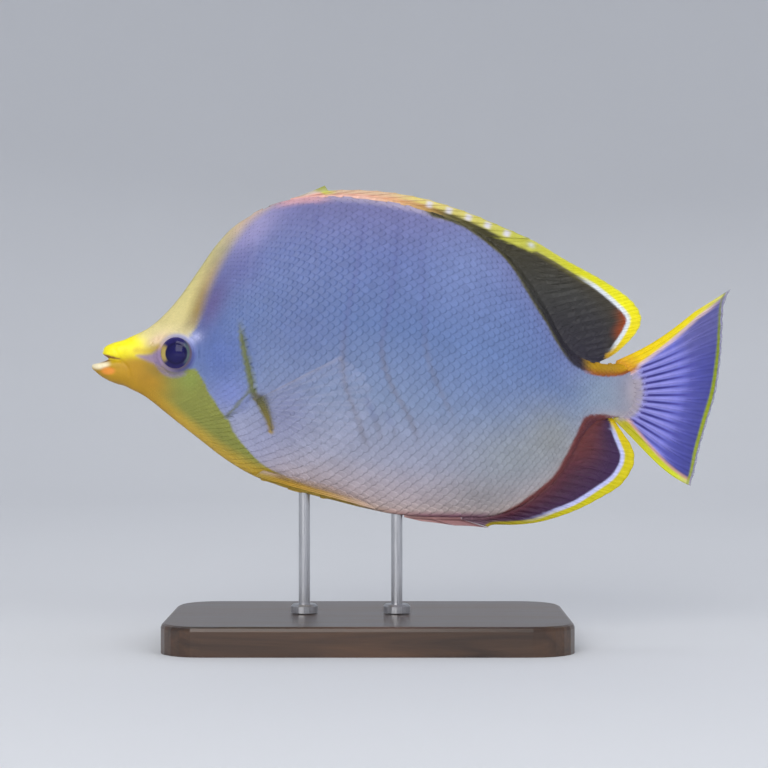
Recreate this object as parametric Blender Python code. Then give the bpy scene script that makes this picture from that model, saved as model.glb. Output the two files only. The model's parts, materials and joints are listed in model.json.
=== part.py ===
"""A life-size still model of a yellowhead butterflyfish, held on a plain display stand.

The fish looks along -X and swims level, its back is up along +Z, and its left flank faces -Y.
Sizes below are millimetres. A place on the flank is (x, h): x runs from the middle of the fish's
whole length to its tail, and h is the height over the fish's lowest point.
"""

import math

import bmesh
import bpy
from mathutils import Vector

MM = 0.001

# Driving sizes
GAP = 0.3
TOTAL_LENGTH = 180.0
BASE_LENGTH = 112.0
BASE_MIDDLE_X = -12.0
BASE_WIDTH = 70.0
BASE_THICKNESS = 8.0
BELLY_ABOVE_BASE = 24.0
FISH_LIFT = BASE_THICKNESS + BELLY_ABOVE_BASE
TAIL_TIP_X = TOTAL_LENGTH / 2

# The body's outline without its fins, as (x, h)
BACK = [
    (-80.4, 53.1), (-75.9, 55.3), (-72.0, 57.9), (-66.0, 64.1), (-60.0, 72.5), (-55.2, 79.4),
    (-50.4, 84.5), (-45.0, 88.1), (-39.0, 90.9), (-31.0, 92.7), (-20.0, 93.2), (-6.0, 91.7),
    (6.2, 88.7), (16.6, 84.3),
    (25.0, 78.5), (32.9, 70.1), (38.5, 60.8), (43.4, 51.8), (48.4, 47.6), (54.6, 46.4),
    (60.2, 46.5), (66.0, 47.4),
]
BELLY = [
    (-80.4, 39.9), (-75.3, 37.1), (-67.8, 31.2), (-60.3, 25.3), (-52.0, 19.0), (-45.3, 15.0),
    (-37.8, 12.0), (-30.3, 9.8), (-22.8, 7.9), (-14.6, 5.8), (-6.3, 4.0), (2.0, 3.1), (11.0, 2.9),
    (21.9, 3.0), (28.4, 4.8), (34.9, 8.4), (40.8, 13.4), (45.0, 19.7), (48.4, 26.2),
    (52.0, 30.0), (56.5, 30.9), (61.6, 30.2), (66.0, 29.0),
]
# Half the body's width along x, the height of its widest line, and half the width of its flat
# upper edge, which carries the dorsal fin, and of its keel
HALF_WIDTH = [
    (-80.4, 3.1), (-73.0, 4.4), (-66.0, 6.1), (-59.0, 7.9), (-52.0, 9.5), (-42.0, 10.8),
    (-30.0, 11.4), (-15.0, 11.2), (0.0, 10.3), (15.0, 8.6), (30.0, 6.2), (42.0, 4.3),
    (52.0, 3.2), (60.0, 2.5), (66.0, 2.1),
]
WIDEST_LINE = [(-80.4, 46.5), (-65.0, 47.0), (-45.0, 46.0), (-15.0, 45.0), (15.0, 43.0),
               (40.0, 39.5), (66.0, 38.2)]
BACK_EDGE = [(-80.4, 1.0), (-60.0, 1.0), (-35.0, 1.1), (20.0, 1.2), (50.0, 1.1), (66.0, 1.0)]
KEEL_EDGE = [(-80.4, 1.1), (-60.0, 1.4), (-42.0, 2.1), (-5.0, 2.1), (8.0, 1.4), (50.0, 1.1),
             (66.0, 1.0)]
LENS_POWER = 1.25
RING_STEPS = 8
HEAD_STEP = 2.3
TRUNK_STEP = 3.6
TAIL_STEP = 1.9
BODY_FRONT_X = -80.25
BODY_REAR_X = 66.0

# The mouth's two jaws, as (x, upper edge, lower edge, half width), from the head forward
UPPER_JAW = [(-80.55, 53.0, 47.3, 3.0), (-82.4, 52.6, 47.5, 2.9), (-84.2, 52.0, 47.9, 2.5),
             (-85.9, 51.2, 48.5, 1.8), (-86.8, 50.5, 49.1, 1.0)]
LOWER_JAW = [(-80.55, 46.95, 39.9, 3.2), (-82.4, 46.9, 40.3, 3.0), (-84.7, 46.9, 41.2, 2.6),
             (-86.8, 46.6, 42.3, 2.1), (-88.4, 46.0, 43.5, 1.3)]
UPPER_LIP = ((-81.6, 2.75, 48.5), (-86.8, 0.0, 49.8))
UPPER_LIP_RADII = (0.25, 0.85)
LOWER_LIP = ((-81.6, 2.95, 45.8), (-88.95, 0.0, 45.1))
LOWER_LIP_RADII = (0.25, 1.05)
MOUTH_FLATNESS = 0.6
LIP_SIDES = 8
LIP_STEPS = 14

# The eye: its place, its half axes, how far its middle lies from the mirror plane, and how far
# it turns with the cheek, which widens towards the gills
EYE_X = -65.4
EYE_H = 49.0
EYE_RADIUS = 4.6
EYE_HALF_DEPTH = 2.4
EYE_Y = 5.1
EYE_SLOPE = 0.2
EYE_SIDES = 18
EYE_ROWS = 9
RIM_RADIUS = 0.42
NOSTRILS = [(-72.3, 51.6), (-70.9, 53.2)]
NOSTRIL_RADIUS = 0.5

# The gill cover's outline, as (x, h), and its plate
GILL_COVER = [(-48.7, 58.8), (-47.1, 52.4), (-45.8, 46.0), (-44.6, 38.9), (-47.2, 35.6), (-51.2, 32.4),
              (-56.0, 31.0), (-58.3, 34.8), (-57.6, 41.9), (-56.0, 50.0), (-53.2, 57.2)]
GILL_CENTRE = (-52.0, 44.0)
GILL_RAISE_REAR = 0.6
GILL_DEPTH = 1.4
GILL_STEPS = 36

# Where the head ends, behind the gill cover, and where the tail stalk starts and ends
HEAD_REAR = [(-42.6, 96.0), (-46.8, 76.8), (-50.2, 64.7), (-50.9, 58.0), (-49.2, 47.0),
             (-48.6, 40.0), (-51.2, 35.6), (-53.4, 31.0), (-54.4, 25.0), (-54.8, 15.0)]
STALK_X = 50.3
CAUDAL_ROOT = [(57.8, 47.0), (61.2, 45.4), (63.6, 42.4), (64.4, 38.2), (63.6, 34.0), (61.0, 31.4),
               (57.0, 30.5)]

# Fins: counts of spines and soft rays, and half thicknesses
DORSAL_SPINES = 13
DORSAL_RAYS = 23
ANAL_SPINES = 3
ANAL_RAYS = 20
CAUDAL_RAYS = 17
PECTORAL_RAYS = 15
PELVIC_RAYS = 6
MEMBRANE = 0.26
RAY_ROOT = 0.8
RAY_TIP = 0.46
SPINE_ROOT = 0.95
SPINE_TIP = 0.36
ROOT_WEB = 0.35

DORSAL_SPINE_FEET = (-34.0, 21.0)
DORSAL_SPINE_TIPS = [(-24.2, 96.5), (-17.0, 95.5), (-9.8, 94.8), (-2.5, 93.5), (6.2, 91.1), (16.6, 87.4),
                     (25.9, 83.4), (33.0, 79.9)]
DORSAL_SOFT_FEET = (22.2, 53.0)
DORSAL_SOFT_MARGIN = [(34.4, 79.3), (43.6, 75.3), (54.1, 69.6), (61.3, 64.6), (64.3, 60.7), (64.6, 57.4),
                      (62.6, 53.9), (58.6, 49.9), (55.7, 47.9)]
ANAL_SPINE_FEET = (2.6, 14.0)
ANAL_SPINE_TIPS = [(10.0, 0.6), (16.2, 0.15), (22.0, 0.0)]
ANAL_SOFT_FEET = (15.6, 52.6)
ANAL_SOFT_MARGIN = [(23.4, 0.9), (29.5, 0.9), (35.7, 1.6), (41.6, 3.2), (47.5, 5.5), (53.4, 8.6),
                    (58.8, 12.0), (62.1, 16.6), (62.8, 20.2), (61.6, 23.3), (59.0, 26.2), (54.6, 29.2)]
CAUDAL_MARGIN = [(TAIL_TIP_X, 67.2), (88.2, 62.6), (87.8, 56.1), (87.2, 48.0), (85.6, 38.0),
                 (83.0, 29.3), (81.0, 22.0), (79.8, 16.0), (78.6, 11.8)]
CAUDAL_TOP_HOLLOW = 2.1
CAUDAL_TOP_HOLLOW_END = 0.68
CAUDAL_LOW_BULGE = 1.8
PECTORAL_ROOT = [(-43.4, 36.9), (-42.0, 32.4), (-39.6, 27.6)]
PECTORAL_ANGLES = (27.0, -58.0)
PECTORAL_LENGTHS = [(0.0, 27.0), (0.2, 32.5), (0.45, 29.0), (0.75, 20.0), (1.0, 12.0)]
PECTORAL_SPLAY = 20.0
PELVIC_ROOT_X = -42.0
PELVIC_LENGTH = 32.0
PELVIC_LIFT = 0.9
PELVIC_SPLAY = 1.2

ROD_RADIUS = 1.6
ROD_SOCKET_DEPTH = 4.0
ROD_PLACES = {"stand_rod_front": -30.0, "stand_rod_rear": -4.0}
ROD_COLLAR_RADIUS = 3.8
ROD_COLLAR_HEIGHT = 2.4

# Colours as sRGB shares
BODY_BLUE = (0.47, 0.52, 0.68)
BELLY_GREY = (0.60, 0.60, 0.66)
HEAD_LAVENDER = (0.55, 0.57, 0.72)
MOUTH_YELLOW = (0.93, 0.80, 0.12)
CHIN_GOLD = (0.80, 0.58, 0.18)
GILL_BLUE = (0.46, 0.52, 0.74)
FIN_BLACK = (0.22, 0.20, 0.20)
FIN_MAROON = (0.33, 0.22, 0.30)
SPINE_YELLOW = (0.85, 0.74, 0.42)
CAUDAL_LAVENDER = (0.44, 0.42, 0.72)
CLEAR_FIN = (0.66, 0.68, 0.74)
EYE_BLACK = (0.08, 0.07, 0.20)
STAND_DARK = (0.10, 0.09, 0.09)
STEEL_GREY = (0.62, 0.62, 0.64)


def clear_scene():
    for item in list(bpy.data.objects):
        bpy.data.objects.remove(item, do_unlink=True)


def linear(share):
    """One sRGB share as the linear value that a shader takes."""
    return share / 12.92 if share <= 0.04045 else ((share + 0.055) / 1.055) ** 2.4


def material(name, colour, roughness=0.45, metallic=0.0):
    made = bpy.data.materials.new(name)
    made.use_nodes = True
    shader = made.node_tree.nodes["Principled BSDF"]
    shader.inputs["Base Color"].default_value = (*[linear(c) for c in colour], 1.0)
    shader.inputs["Roughness"].default_value = roughness
    shader.inputs["Metallic"].default_value = metallic
    return made


def profile(points):
    """A smooth curve of one value over x, through a few (x, value) points."""
    xs = [p[0] for p in points]
    values = [p[1] for p in points]
    rises = [(values[i + 1] - values[i]) / (xs[i + 1] - xs[i]) for i in range(len(xs) - 1)]
    slopes = [rises[0], *[(a + b) / 2 for a, b in zip(rises, rises[1:])], rises[-1]]

    def at(x):
        x = min(max(x, xs[0]), xs[-1])
        i = max(k for k in range(len(xs) - 1) if xs[k] <= x)
        step = xs[i + 1] - xs[i]
        u = (x - xs[i]) / step
        start = (2 * u ** 3 - 3 * u ** 2 + 1) * values[i] + (u ** 3 - 2 * u ** 2 + u) * step * slopes[i]
        end = (3 * u ** 2 - 2 * u ** 3) * values[i + 1] + (u ** 3 - u ** 2) * step * slopes[i + 1]
        return start + end

    return at


def path(points, closed=False):
    """A smooth curve through a few (x, h) points, read by its share of the whole length."""
    steps = 12
    count = len(points)
    dense = []
    for i in range(count if closed else count - 1):
        if closed:
            p0, p1, p2, p3 = [Vector(points[(i + k) % count]) for k in (-1, 0, 1, 2)]
        else:
            p0, p1, p2, p3 = [Vector(points[min(max(i + k, 0), count - 1)]) for k in (-1, 0, 1, 2)]
        for k in range(steps):
            u = k / steps
            dense.append(0.5 * (2 * p1 + (p2 - p0) * u + (2 * p0 - 5 * p1 + 4 * p2 - p3) * u ** 2
                                + (3 * p1 - p0 - 3 * p2 + p3) * u ** 3))
    dense.append(Vector(points[0 if closed else -1]))
    lengths = [0.0]
    for a, b in zip(dense, dense[1:]):
        lengths.append(lengths[-1] + (b - a).length)

    def at(share):
        wanted = min(max(share, 0.0), 1.0) * lengths[-1]
        i = max(k for k in range(len(lengths) - 1) if lengths[k] <= wanted)
        part = (wanted - lengths[i]) / max(lengths[i + 1] - lengths[i], 1e-9)
        return dense[i].lerp(dense[i + 1], part)

    return at


back_h = profile(BACK)
belly_h = profile(BELLY)
half_width = profile(HALF_WIDTH)
widest_h = profile(WIDEST_LINE)
back_edge = profile(BACK_EDGE)
keel_edge = profile(KEEL_EDGE)


def flank_y(x, h):
    """Half the body's width at a place on the flank."""
    middle = widest_h(x)
    if h >= middle:
        rise, edge = back_h(x) - middle, back_edge(x)
    else:
        rise, edge = middle - belly_h(x), keel_edge(x)
    u = min(abs(h - middle) / rise, 1.0)
    return edge + (half_width(x) - edge) * (1 - u * u) ** (LENS_POWER / 2)


def edge_path(height, first_x, last_x, offset):
    """The body's upper or lower edge between two places, moved outwards by offset."""
    steps = 40
    outwards = 1.0 if height is back_h else -1.0
    points = []
    for k in range(steps + 1):
        x = first_x + (last_x - first_x) * k / steps
        slope = (height(x + 0.1) - height(x - 0.1)) / 0.2
        away = Vector((-slope, 1.0)).normalized() * outwards * offset
        points.append((x + away.x, height(x) + away.y))
    return path(points)


def new_object(name, mesh, look=None, parent=None):
    made = bpy.data.objects.new(name, mesh)
    bpy.context.scene.collection.objects.link(made)
    if look is not None:
        mesh.materials.clear()
        mesh.materials.append(look)
    made.parent = parent
    return made


def mesh_of(name, points, faces):
    """A mesh of closed surface, from points in millimetres."""
    mesh = bpy.data.meshes.new(name)
    mesh.from_pydata([Vector(p) * MM for p in points], [], faces)
    built = bmesh.new()
    built.from_mesh(mesh)
    bmesh.ops.recalc_face_normals(built, faces=built.faces)
    if built.calc_volume(signed=True) < 0:
        bmesh.ops.reverse_faces(built, faces=built.faces)
    built.to_mesh(mesh)
    built.free()
    return mesh


def loft(name, rings, closed=False):
    """A closed skin over rings of points, capped at both ends unless the rings close on themselves."""
    size = len(rings[0])
    points = [p for ring in rings for p in ring]
    faces = []
    count = len(rings)
    for i in range(count if closed else count - 1):
        a, b = i * size, ((i + 1) % count) * size
        for k in range(size):
            n = (k + 1) % size
            faces.append((a + k, a + n, b + n, b + k))
    if not closed:
        faces.append(tuple(range(size)))
        faces.append(tuple(range((count - 1) * size, count * size)))
    return mesh_of(name, points, faces)


def combine(target, tools, operation, solver="EXACT"):
    """Joins the tools to the target, cuts them from it, or keeps what lies in them, and removes them."""
    group = bpy.data.collections.new(target.name + "_tools")
    bpy.context.scene.collection.children.link(group)
    for tool in tools:
        for owner in list(tool.users_collection):
            owner.objects.unlink(tool)
        group.objects.link(tool)
    step = target.modifiers.new(operation.lower(), "BOOLEAN")
    step.operation = operation
    step.solver = solver
    step.operand_type = "COLLECTION"
    step.collection = group
    bpy.context.view_layer.update()
    graph = bpy.context.evaluated_depsgraph_get()
    mesh = bpy.data.meshes.new_from_object(target.evaluated_get(graph))
    target.modifiers.clear()
    target.data = mesh
    for tool in tools:
        bpy.data.objects.remove(tool, do_unlink=True)
    bpy.data.collections.remove(group)
    keep_largest(target)


def keep_largest(target):
    """Leaves only the largest closed surface of a mesh."""
    built = bmesh.new()
    built.from_mesh(target.data)
    unseen = set(built.faces)
    islands = []
    while unseen:
        front = [unseen.pop()]
        island = list(front)
        while front:
            face = front.pop()
            for edge in face.edges:
                for other in edge.link_faces:
                    if other in unseen:
                        unseen.discard(other)
                        front.append(other)
                        island.append(other)
        islands.append(island)
    islands.sort(key=lambda island: sum(face.calc_area() for face in island), reverse=True)
    for island in islands[1:]:
        bmesh.ops.delete(built, geom=island, context="FACES")
    loose = [v for v in built.verts if not v.link_faces]
    bmesh.ops.delete(built, geom=loose, context="VERTS")
    built.to_mesh(target.data)
    built.free()


def prism(name, outline, half_depth=30.0):
    """An (x, h) outline carried straight through from the right flank to the left."""
    near = [(x, -half_depth, h) for x, h in outline]
    far = [(x, half_depth, h) for x, h in outline]
    return new_object(name, loft(name, [near, far]))


def body_ring(x):
    """One slice through the body: a lens with a flat strip along its back and its keel."""
    middle = widest_h(x)
    rise, drop = back_h(x) - middle, middle - belly_h(x)
    side = []
    for k in range(-RING_STEPS, RING_STEPS + 1):
        turn = math.radians(90) * k / RING_STEPS
        reach, edge = (rise, back_edge(x)) if k > 0 else (drop, keel_edge(x))
        width = half_width(x)
        y = edge + (width - edge) * max(math.cos(turn), 0.0) ** LENS_POWER
        side.append((y, middle + reach * math.sin(turn)))
    right = [(x, y, h) for y, h in side]
    left = [(x, -y, h) for y, h in reversed(side)]
    return right + left


def body_stations():
    """Where the body is sliced: closer along the head and where the outline turns in to the tail."""
    stations = []
    x = BODY_FRONT_X
    while x < BODY_REAR_X - 0.5:
        stations.append(x)
        x += HEAD_STEP if x < -40 else TRUNK_STEP if x < 20 else TAIL_STEP
    return [*stations, BODY_REAR_X]


def body_whole(name):
    return new_object(name, loft(name, [body_ring(x) for x in body_stations()]))


def tube(name, centres, radii, facing, sides=LIP_SIDES, closed=False):
    """A round rod along a line of points that lies square to facing, with a radius at each."""
    rings = []
    count = len(centres)
    for i, (centre, radius) in enumerate(zip(centres, radii)):
        before = centres[(i - 1) % count] if closed else centres[max(i - 1, 0)]
        after = centres[(i + 1) % count] if closed else centres[min(i + 1, count - 1)]
        along = (after - before).normalized()
        across = along.cross(Vector(facing)).normalized()
        up = across.cross(along).normalized()
        ring = []
        for k in range(sides):
            turn = math.tau * k / sides
            ring.append(centre + (across * math.cos(turn) + up * math.sin(turn)) * radius)
        rings.append(ring)
    return new_object(name, loft(name, rings, closed))


def ellipsoid(name, centre, half_axes, sides, rows, slope=0.0):
    """A round body with its poles on the Y axis, sheared along Y by slope for each step in x."""
    rings = []
    for j in range(1, rows):
        tilt = math.pi * j / rows
        ring = []
        for k in range(sides):
            turn = math.tau * k / sides
            forward = half_axes[0] * math.sin(tilt) * math.cos(turn)
            ring.append((centre[0] + forward,
                         centre[1] + half_axes[1] * math.cos(tilt) + slope * forward,
                         centre[2] + half_axes[2] * math.sin(tilt) * math.sin(turn)))
        rings.append(ring)
    poles = [(centre[0], centre[1] + half_axes[1], centre[2]),
             (centre[0], centre[1] - half_axes[1], centre[2])]
    points = [p for ring in rings for p in ring] + poles
    faces = []
    for j in range(len(rings) - 1):
        for k in range(sides):
            n = (k + 1) % sides
            faces.append((j * sides + k, j * sides + n, (j + 1) * sides + n, (j + 1) * sides + k))
    last = (len(rings) - 1) * sides
    for k in range(sides):
        n = (k + 1) % sides
        faces.append((len(points) - 2, n, k))
        faces.append((len(points) - 1, last + k, last + n))
    return new_object(name, mesh_of(name, points, faces))


def eye_shape(name, side, extra=0.0):
    return ellipsoid(name, (EYE_X, side * EYE_Y, EYE_H),
                     (EYE_RADIUS + extra, EYE_HALF_DEPTH + extra, EYE_RADIUS + extra),
                     EYE_SIDES, EYE_ROWS, side * EYE_SLOPE)


def eye_rim(side):
    """The raised skin round an eye, laid on the head's own surface."""
    steps = 24
    reach = EYE_RADIUS + GAP + RIM_RADIUS * 0.7
    centres = []
    for k in range(steps):
        turn = math.tau * k / steps
        x, h = EYE_X + reach * math.cos(turn), EYE_H + reach * math.sin(turn)
        centres.append(Vector((x, side * flank_y(x, h), h)))
    return tube("eye_rim", centres, [RIM_RADIUS] * steps, (0, 1, 0), 6, closed=True)


def gill_plate(name, side, extra=0.0, reach=0.0):
    """A plate on the flank inside the gill cover's outline, proudest along its rear edge."""
    around = path(GILL_COVER, closed=True)
    centre = Vector(GILL_CENTRE)
    shares = (0.35, 0.7, 0.92, 1.0)
    outer, inner = [], []
    for share in shares:
        for k in range(GILL_STEPS):
            edge = around(k / GILL_STEPS)
            out = (edge - centre).normalized() * extra
            place = centre.lerp(edge + out, share)
            surface = flank_y(place.x, place.y)
            rearness = min(max((place.x - centre.x + 4) / 10, 0.0), 1.0)
            crown = 0.15 + GILL_RAISE_REAR * rearness * share
            outer.append((place.x, side * (surface + crown + reach), place.y))
            inner.append((place.x, side * (surface - GILL_DEPTH - extra), place.y))
    middle = flank_y(*GILL_CENTRE)
    points = outer + inner
    points.append((centre.x, side * (middle + 0.15 + reach), centre.y))
    points.append((centre.x, side * (middle - GILL_DEPTH - extra), centre.y))
    count, rows = GILL_STEPS, len(shares)
    faces = []
    for layer in (0, rows * count):
        hub = len(points) - 2 if layer == 0 else len(points) - 1
        for k in range(count):
            n = (k + 1) % count
            faces.append((hub, layer + k, layer + n))
            for j in range(rows - 1):
                a, b = layer + j * count, layer + (j + 1) * count
                faces.append((a + k, b + k, b + n))
                faces.append((a + k, b + n, a + n))
    rim = (rows - 1) * count
    for k in range(count):
        n = (k + 1) % count
        faces.append((rim + k, rim + n, rows * count + rim + n, rows * count + rim + k))
    return new_object(name, mesh_of(name, points, faces))


def socket_cutter(x):
    """The hole in the belly that a stand rod reaches into."""
    top = belly_h(x) + ROD_SOCKET_DEPTH + GAP
    rings = []
    for h in (belly_h(x) - 6.0, top):
        rings.append([(x + (ROD_RADIUS + GAP) * math.cos(math.tau * k / 16),
                       (ROD_RADIUS + GAP) * math.sin(math.tau * k / 16), h) for k in range(16)])
    return new_object("socket", loft("socket", rings))


def jaw_ring(x, top, bottom, width, mouth_side):
    """A slice through a jaw, round outside and flat where it faces the other jaw."""
    steps = 20
    middle, half = (top + bottom) / 2, (top - bottom) / 2
    ring = []
    for k in range(steps):
        turn = math.tau * (k + 0.5) / steps
        across, up = math.cos(turn), math.sin(turn)
        power = MOUTH_FLATNESS if up * mouth_side > 0 else 1.0
        ring.append((x, width * math.copysign(abs(across) ** power, across),
                     middle + half * math.copysign(abs(up) ** power, up)))
    return ring


def jaw(name, stations, mouth_side, lip_line, lip_radii, look):
    """A jaw lofted forward to its lip, with the lip as a soft roll round its rim."""
    x, top, bottom, width = stations[-1]
    middle, half = (top + bottom) / 2, (top - bottom) / 2
    tip_ring = jaw_ring(x - 0.35, middle + half / 2, middle - half / 2, width / 2, mouth_side)
    rings = [jaw_ring(*station, mouth_side) for station in stations] + [tip_ring]
    made = new_object(name, loft(name, rings), look)
    corner, front = lip_line
    centres, radii = [], []
    for k in range(LIP_STEPS + 1):
        turn = math.radians(180) * (k / LIP_STEPS - 0.5)
        forward = math.cos(turn)
        centres.append(Vector((corner[0] + (front[0] - corner[0]) * forward,
                               corner[1] * math.sin(turn),
                               corner[2] + (front[2] - corner[2]) * forward)))
        radii.append(lip_radii[0] + (lip_radii[1] - lip_radii[0]) * forward)
    combine(made, [tube("lip", centres, radii, (0, 0, 1))], "UNION")
    return made


def fin(name, roots, margins, half_thickness, rows, look, parent, side_y=None, droop=None):
    """A fin as one grid from root to margin, thick along its rays and thin on the membrane between.

    roots and margins are equal lists of (x, h), half_thickness(column, share) is half the fin's
    thickness, side_y(x, h, column, share) is where its middle lies across the body, and
    droop(column, share) is how far a ray bends down from the straight line to its tip.
    """
    count = len(roots)
    near, far = [], []
    for i in range(count):
        start, end = Vector(roots[i]), Vector(margins[i])
        for j in range(rows + 1):
            share = j / rows
            place = start.lerp(end, share)
            if droop:
                place.y -= droop(i, share)
            y = side_y(place.x, place.y, i, share) if side_y else 0.0
            half = half_thickness(i, share)
            near.append((place.x, y - half, place.y))
            far.append((place.x, y + half, place.y))
    total = len(near)
    faces = []
    for i in range(count - 1):
        for j in range(rows):
            a = i * (rows + 1) + j
            b = a + rows + 1
            faces.append((a, b, b + 1))
            faces.append((a, b + 1, a + 1))
            faces.append((total + a, total + b + 1, total + b))
            faces.append((total + a, total + a + 1, total + b + 1))
    border = [i * (rows + 1) for i in range(count)]
    border += [(count - 1) * (rows + 1) + j for j in range(1, rows + 1)]
    border += [i * (rows + 1) + rows for i in range(count - 2, -1, -1)]
    border += list(range(rows - 1, 0, -1))
    for k, here in enumerate(border):
        there = border[(k + 1) % len(border)]
        faces.append((here, there, total + there))
        faces.append((here, total + there, total + here))
    return new_object(name, mesh_of(name, near + far, faces), look, parent)


def ray_thickness(column, share):
    """Every second column of a soft fin is a ray."""
    if column % 2 == 0:
        return RAY_ROOT + (RAY_TIP - RAY_ROOT) * share
    return MEMBRANE + (RAY_ROOT - MEMBRANE) * ROOT_WEB * (1 - share) ** 6


def spine_thickness(column, share):
    """Each spine takes three columns, its ridge in the middle, and a fourth is membrane."""
    if column % 4 == 1:
        return SPINE_ROOT + (SPINE_TIP - SPINE_ROOT) * share
    return MEMBRANE + (SPINE_ROOT - MEMBRANE) * ROOT_WEB * (1 - share) ** 6


def spiny_columns(feet_path, tip_path, count, dip):
    """Roots and margins of a spiny fin: the membrane falls away behind each spine's tip."""
    roots, margins = [], []
    spread = 0.16
    for k in range(count):
        for offset, share in ((-spread, 0.80), (0.0, 1.0), (spread, 0.82), (0.5, 0.62)):
            if k == count - 1 and offset == 0.5:
                continue
            place = min(max((k + offset) / (count - 1), 0.0), 1.0)
            if k == 0 and offset < 0:
                place = 0.0
            foot = feet_path(min(max((k + offset + spread) / (count - 1 + 2 * spread), 0.0), 1.0))
            tip = tip_path(place)
            roots.append(foot)
            margins.append(foot.lerp(tip, 1 - dip * (1 - share)))
    return roots, margins


def dorsal_spiny(look, parent):
    feet = edge_path(back_h, *DORSAL_SPINE_FEET, GAP)
    roots, margins = spiny_columns(feet, path(DORSAL_SPINE_TIPS), DORSAL_SPINES, 0.55)
    return fin("dorsal_fin_spiny", roots, margins, spine_thickness, 3, look, parent)


def soft_columns(feet_path, margin_path, rays, scallop=0.0):
    """Roots and margins of a soft fin, a ray at every second column."""
    count = 2 * rays - 1
    roots = [feet_path(i / (count - 1)) for i in range(count)]
    margins = []
    for i in range(count):
        end = margin_path(i / (count - 1))
        margins.append(end if i % 2 == 0 else end.lerp(roots[i], scallop))
    return roots, margins


def dorsal_soft(look, parent):
    feet = edge_path(back_h, *DORSAL_SOFT_FEET, GAP)
    roots, margins = soft_columns(feet, path(DORSAL_SOFT_MARGIN), DORSAL_RAYS, 0.012)
    return fin("dorsal_fin_soft", roots, margins, ray_thickness, 5, look, parent)


def anal_spiny(look, parent):
    feet = edge_path(belly_h, *ANAL_SPINE_FEET, GAP)
    roots, margins = spiny_columns(feet, path(ANAL_SPINE_TIPS), ANAL_SPINES, 0.4)
    return fin("anal_fin_spiny", roots, margins, spine_thickness, 3, look, parent)


def anal_soft(look, parent):
    feet = edge_path(belly_h, *ANAL_SOFT_FEET, GAP)
    roots, margins = soft_columns(feet, path(ANAL_SOFT_MARGIN), ANAL_RAYS, 0.012)
    return fin("anal_fin_soft", roots, margins, ray_thickness, 5, look, parent)


def offset_path(points, distance):
    """A smooth open curve moved to its left by a distance."""
    along = path(points)
    moved = []
    steps = 24
    for k in range(steps + 1):
        here, ahead = along(k / steps - 0.01), along(k / steps + 0.01)
        way = (ahead - here).normalized()
        place = along(k / steps) + Vector((-way.y, way.x)) * distance
        moved.append(tuple(place))
    return moved


def caudal(look, parent):
    feet = path(offset_path(CAUDAL_ROOT, GAP / 2))
    roots, margins = soft_columns(feet, path(CAUDAL_MARGIN), CAUDAL_RAYS, 0.012)

    def thickness(column, share):
        return ray_thickness(column, share) * (1.35 - 0.35 * share)

    def droop(column, share):
        up = 1 - 2 * column / (len(roots) - 1)
        hollow = math.sin(math.pi * min(share / CAUDAL_TOP_HOLLOW_END, 1.0)) * max(up, 0.0) ** 2
        bulge = math.sin(math.pi * share ** 1.5) * max(-up, 0.0) ** 2
        return CAUDAL_TOP_HOLLOW * hollow + CAUDAL_LOW_BULGE * bulge

    return fin("caudal_fin", roots, margins, thickness, 6, look, parent, droop=droop)


def pectoral(name, side, look, parent):
    """A clear paddle that fans out behind the gill cover, leaning away from the flank."""
    feet = path(PECTORAL_ROOT)
    length = profile(PECTORAL_LENGTHS)
    count = 2 * PECTORAL_RAYS - 1
    roots, margins = [], []
    splay = math.radians(PECTORAL_SPLAY)
    for i in range(count):
        share = i / (count - 1)
        turn = math.radians(PECTORAL_ANGLES[0] + (PECTORAL_ANGLES[1] - PECTORAL_ANGLES[0]) * share)
        foot = feet(share)
        reach = length(share) * (1.0 if i % 2 == 0 else 0.985)
        roots.append(foot)
        margins.append(foot + Vector((math.cos(turn), math.sin(turn))) * reach * math.cos(splay))

    def across(x, h, column, share):
        foot = roots[column]
        out = (Vector((x, h)) - foot).length * math.tan(splay)
        return side * (flank_y(foot.x, foot.y) + GAP + RAY_ROOT + out)

    return fin(name, roots, margins, ray_thickness, 4, look, parent, side_y=across)


def pelvic(name, side, look, parent):
    """A fin folded back along the lower flank, with its spine lowest."""
    count = 2 * PELVIC_RAYS - 1
    rows = 5
    roots, margins = [], []
    for i in range(count):
        share = i / (count - 1)
        foot_x = PELVIC_ROOT_X + 1.6 * share
        end_x = PELVIC_ROOT_X + PELVIC_LENGTH * (1 - 0.38 * share ** 1.5)
        roots.append((foot_x, belly_h(foot_x) + PELVIC_LIFT + 2.4 * share))
        margins.append((end_x, belly_h(end_x) + PELVIC_LIFT + 3.6 * share))

    def across(x, h, column, share):
        level = max(h, belly_h(x) + PELVIC_LIFT)
        return side * (flank_y(x, level) + GAP + RAY_ROOT + PELVIC_SPLAY * share)

    return fin(name, roots, margins, ray_thickness, rows, look, parent, side_y=across)


def turned(name, outline, x, look):
    """A round piece on the stand's midline, from a (radius, height) outline."""
    sides = 16
    rings = [[(x + r * math.cos(math.tau * k / sides), r * math.sin(math.tau * k / sides), z)
              for k in range(sides)] for r, z in outline]
    return new_object(name, loft(name, rings), look)


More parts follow.
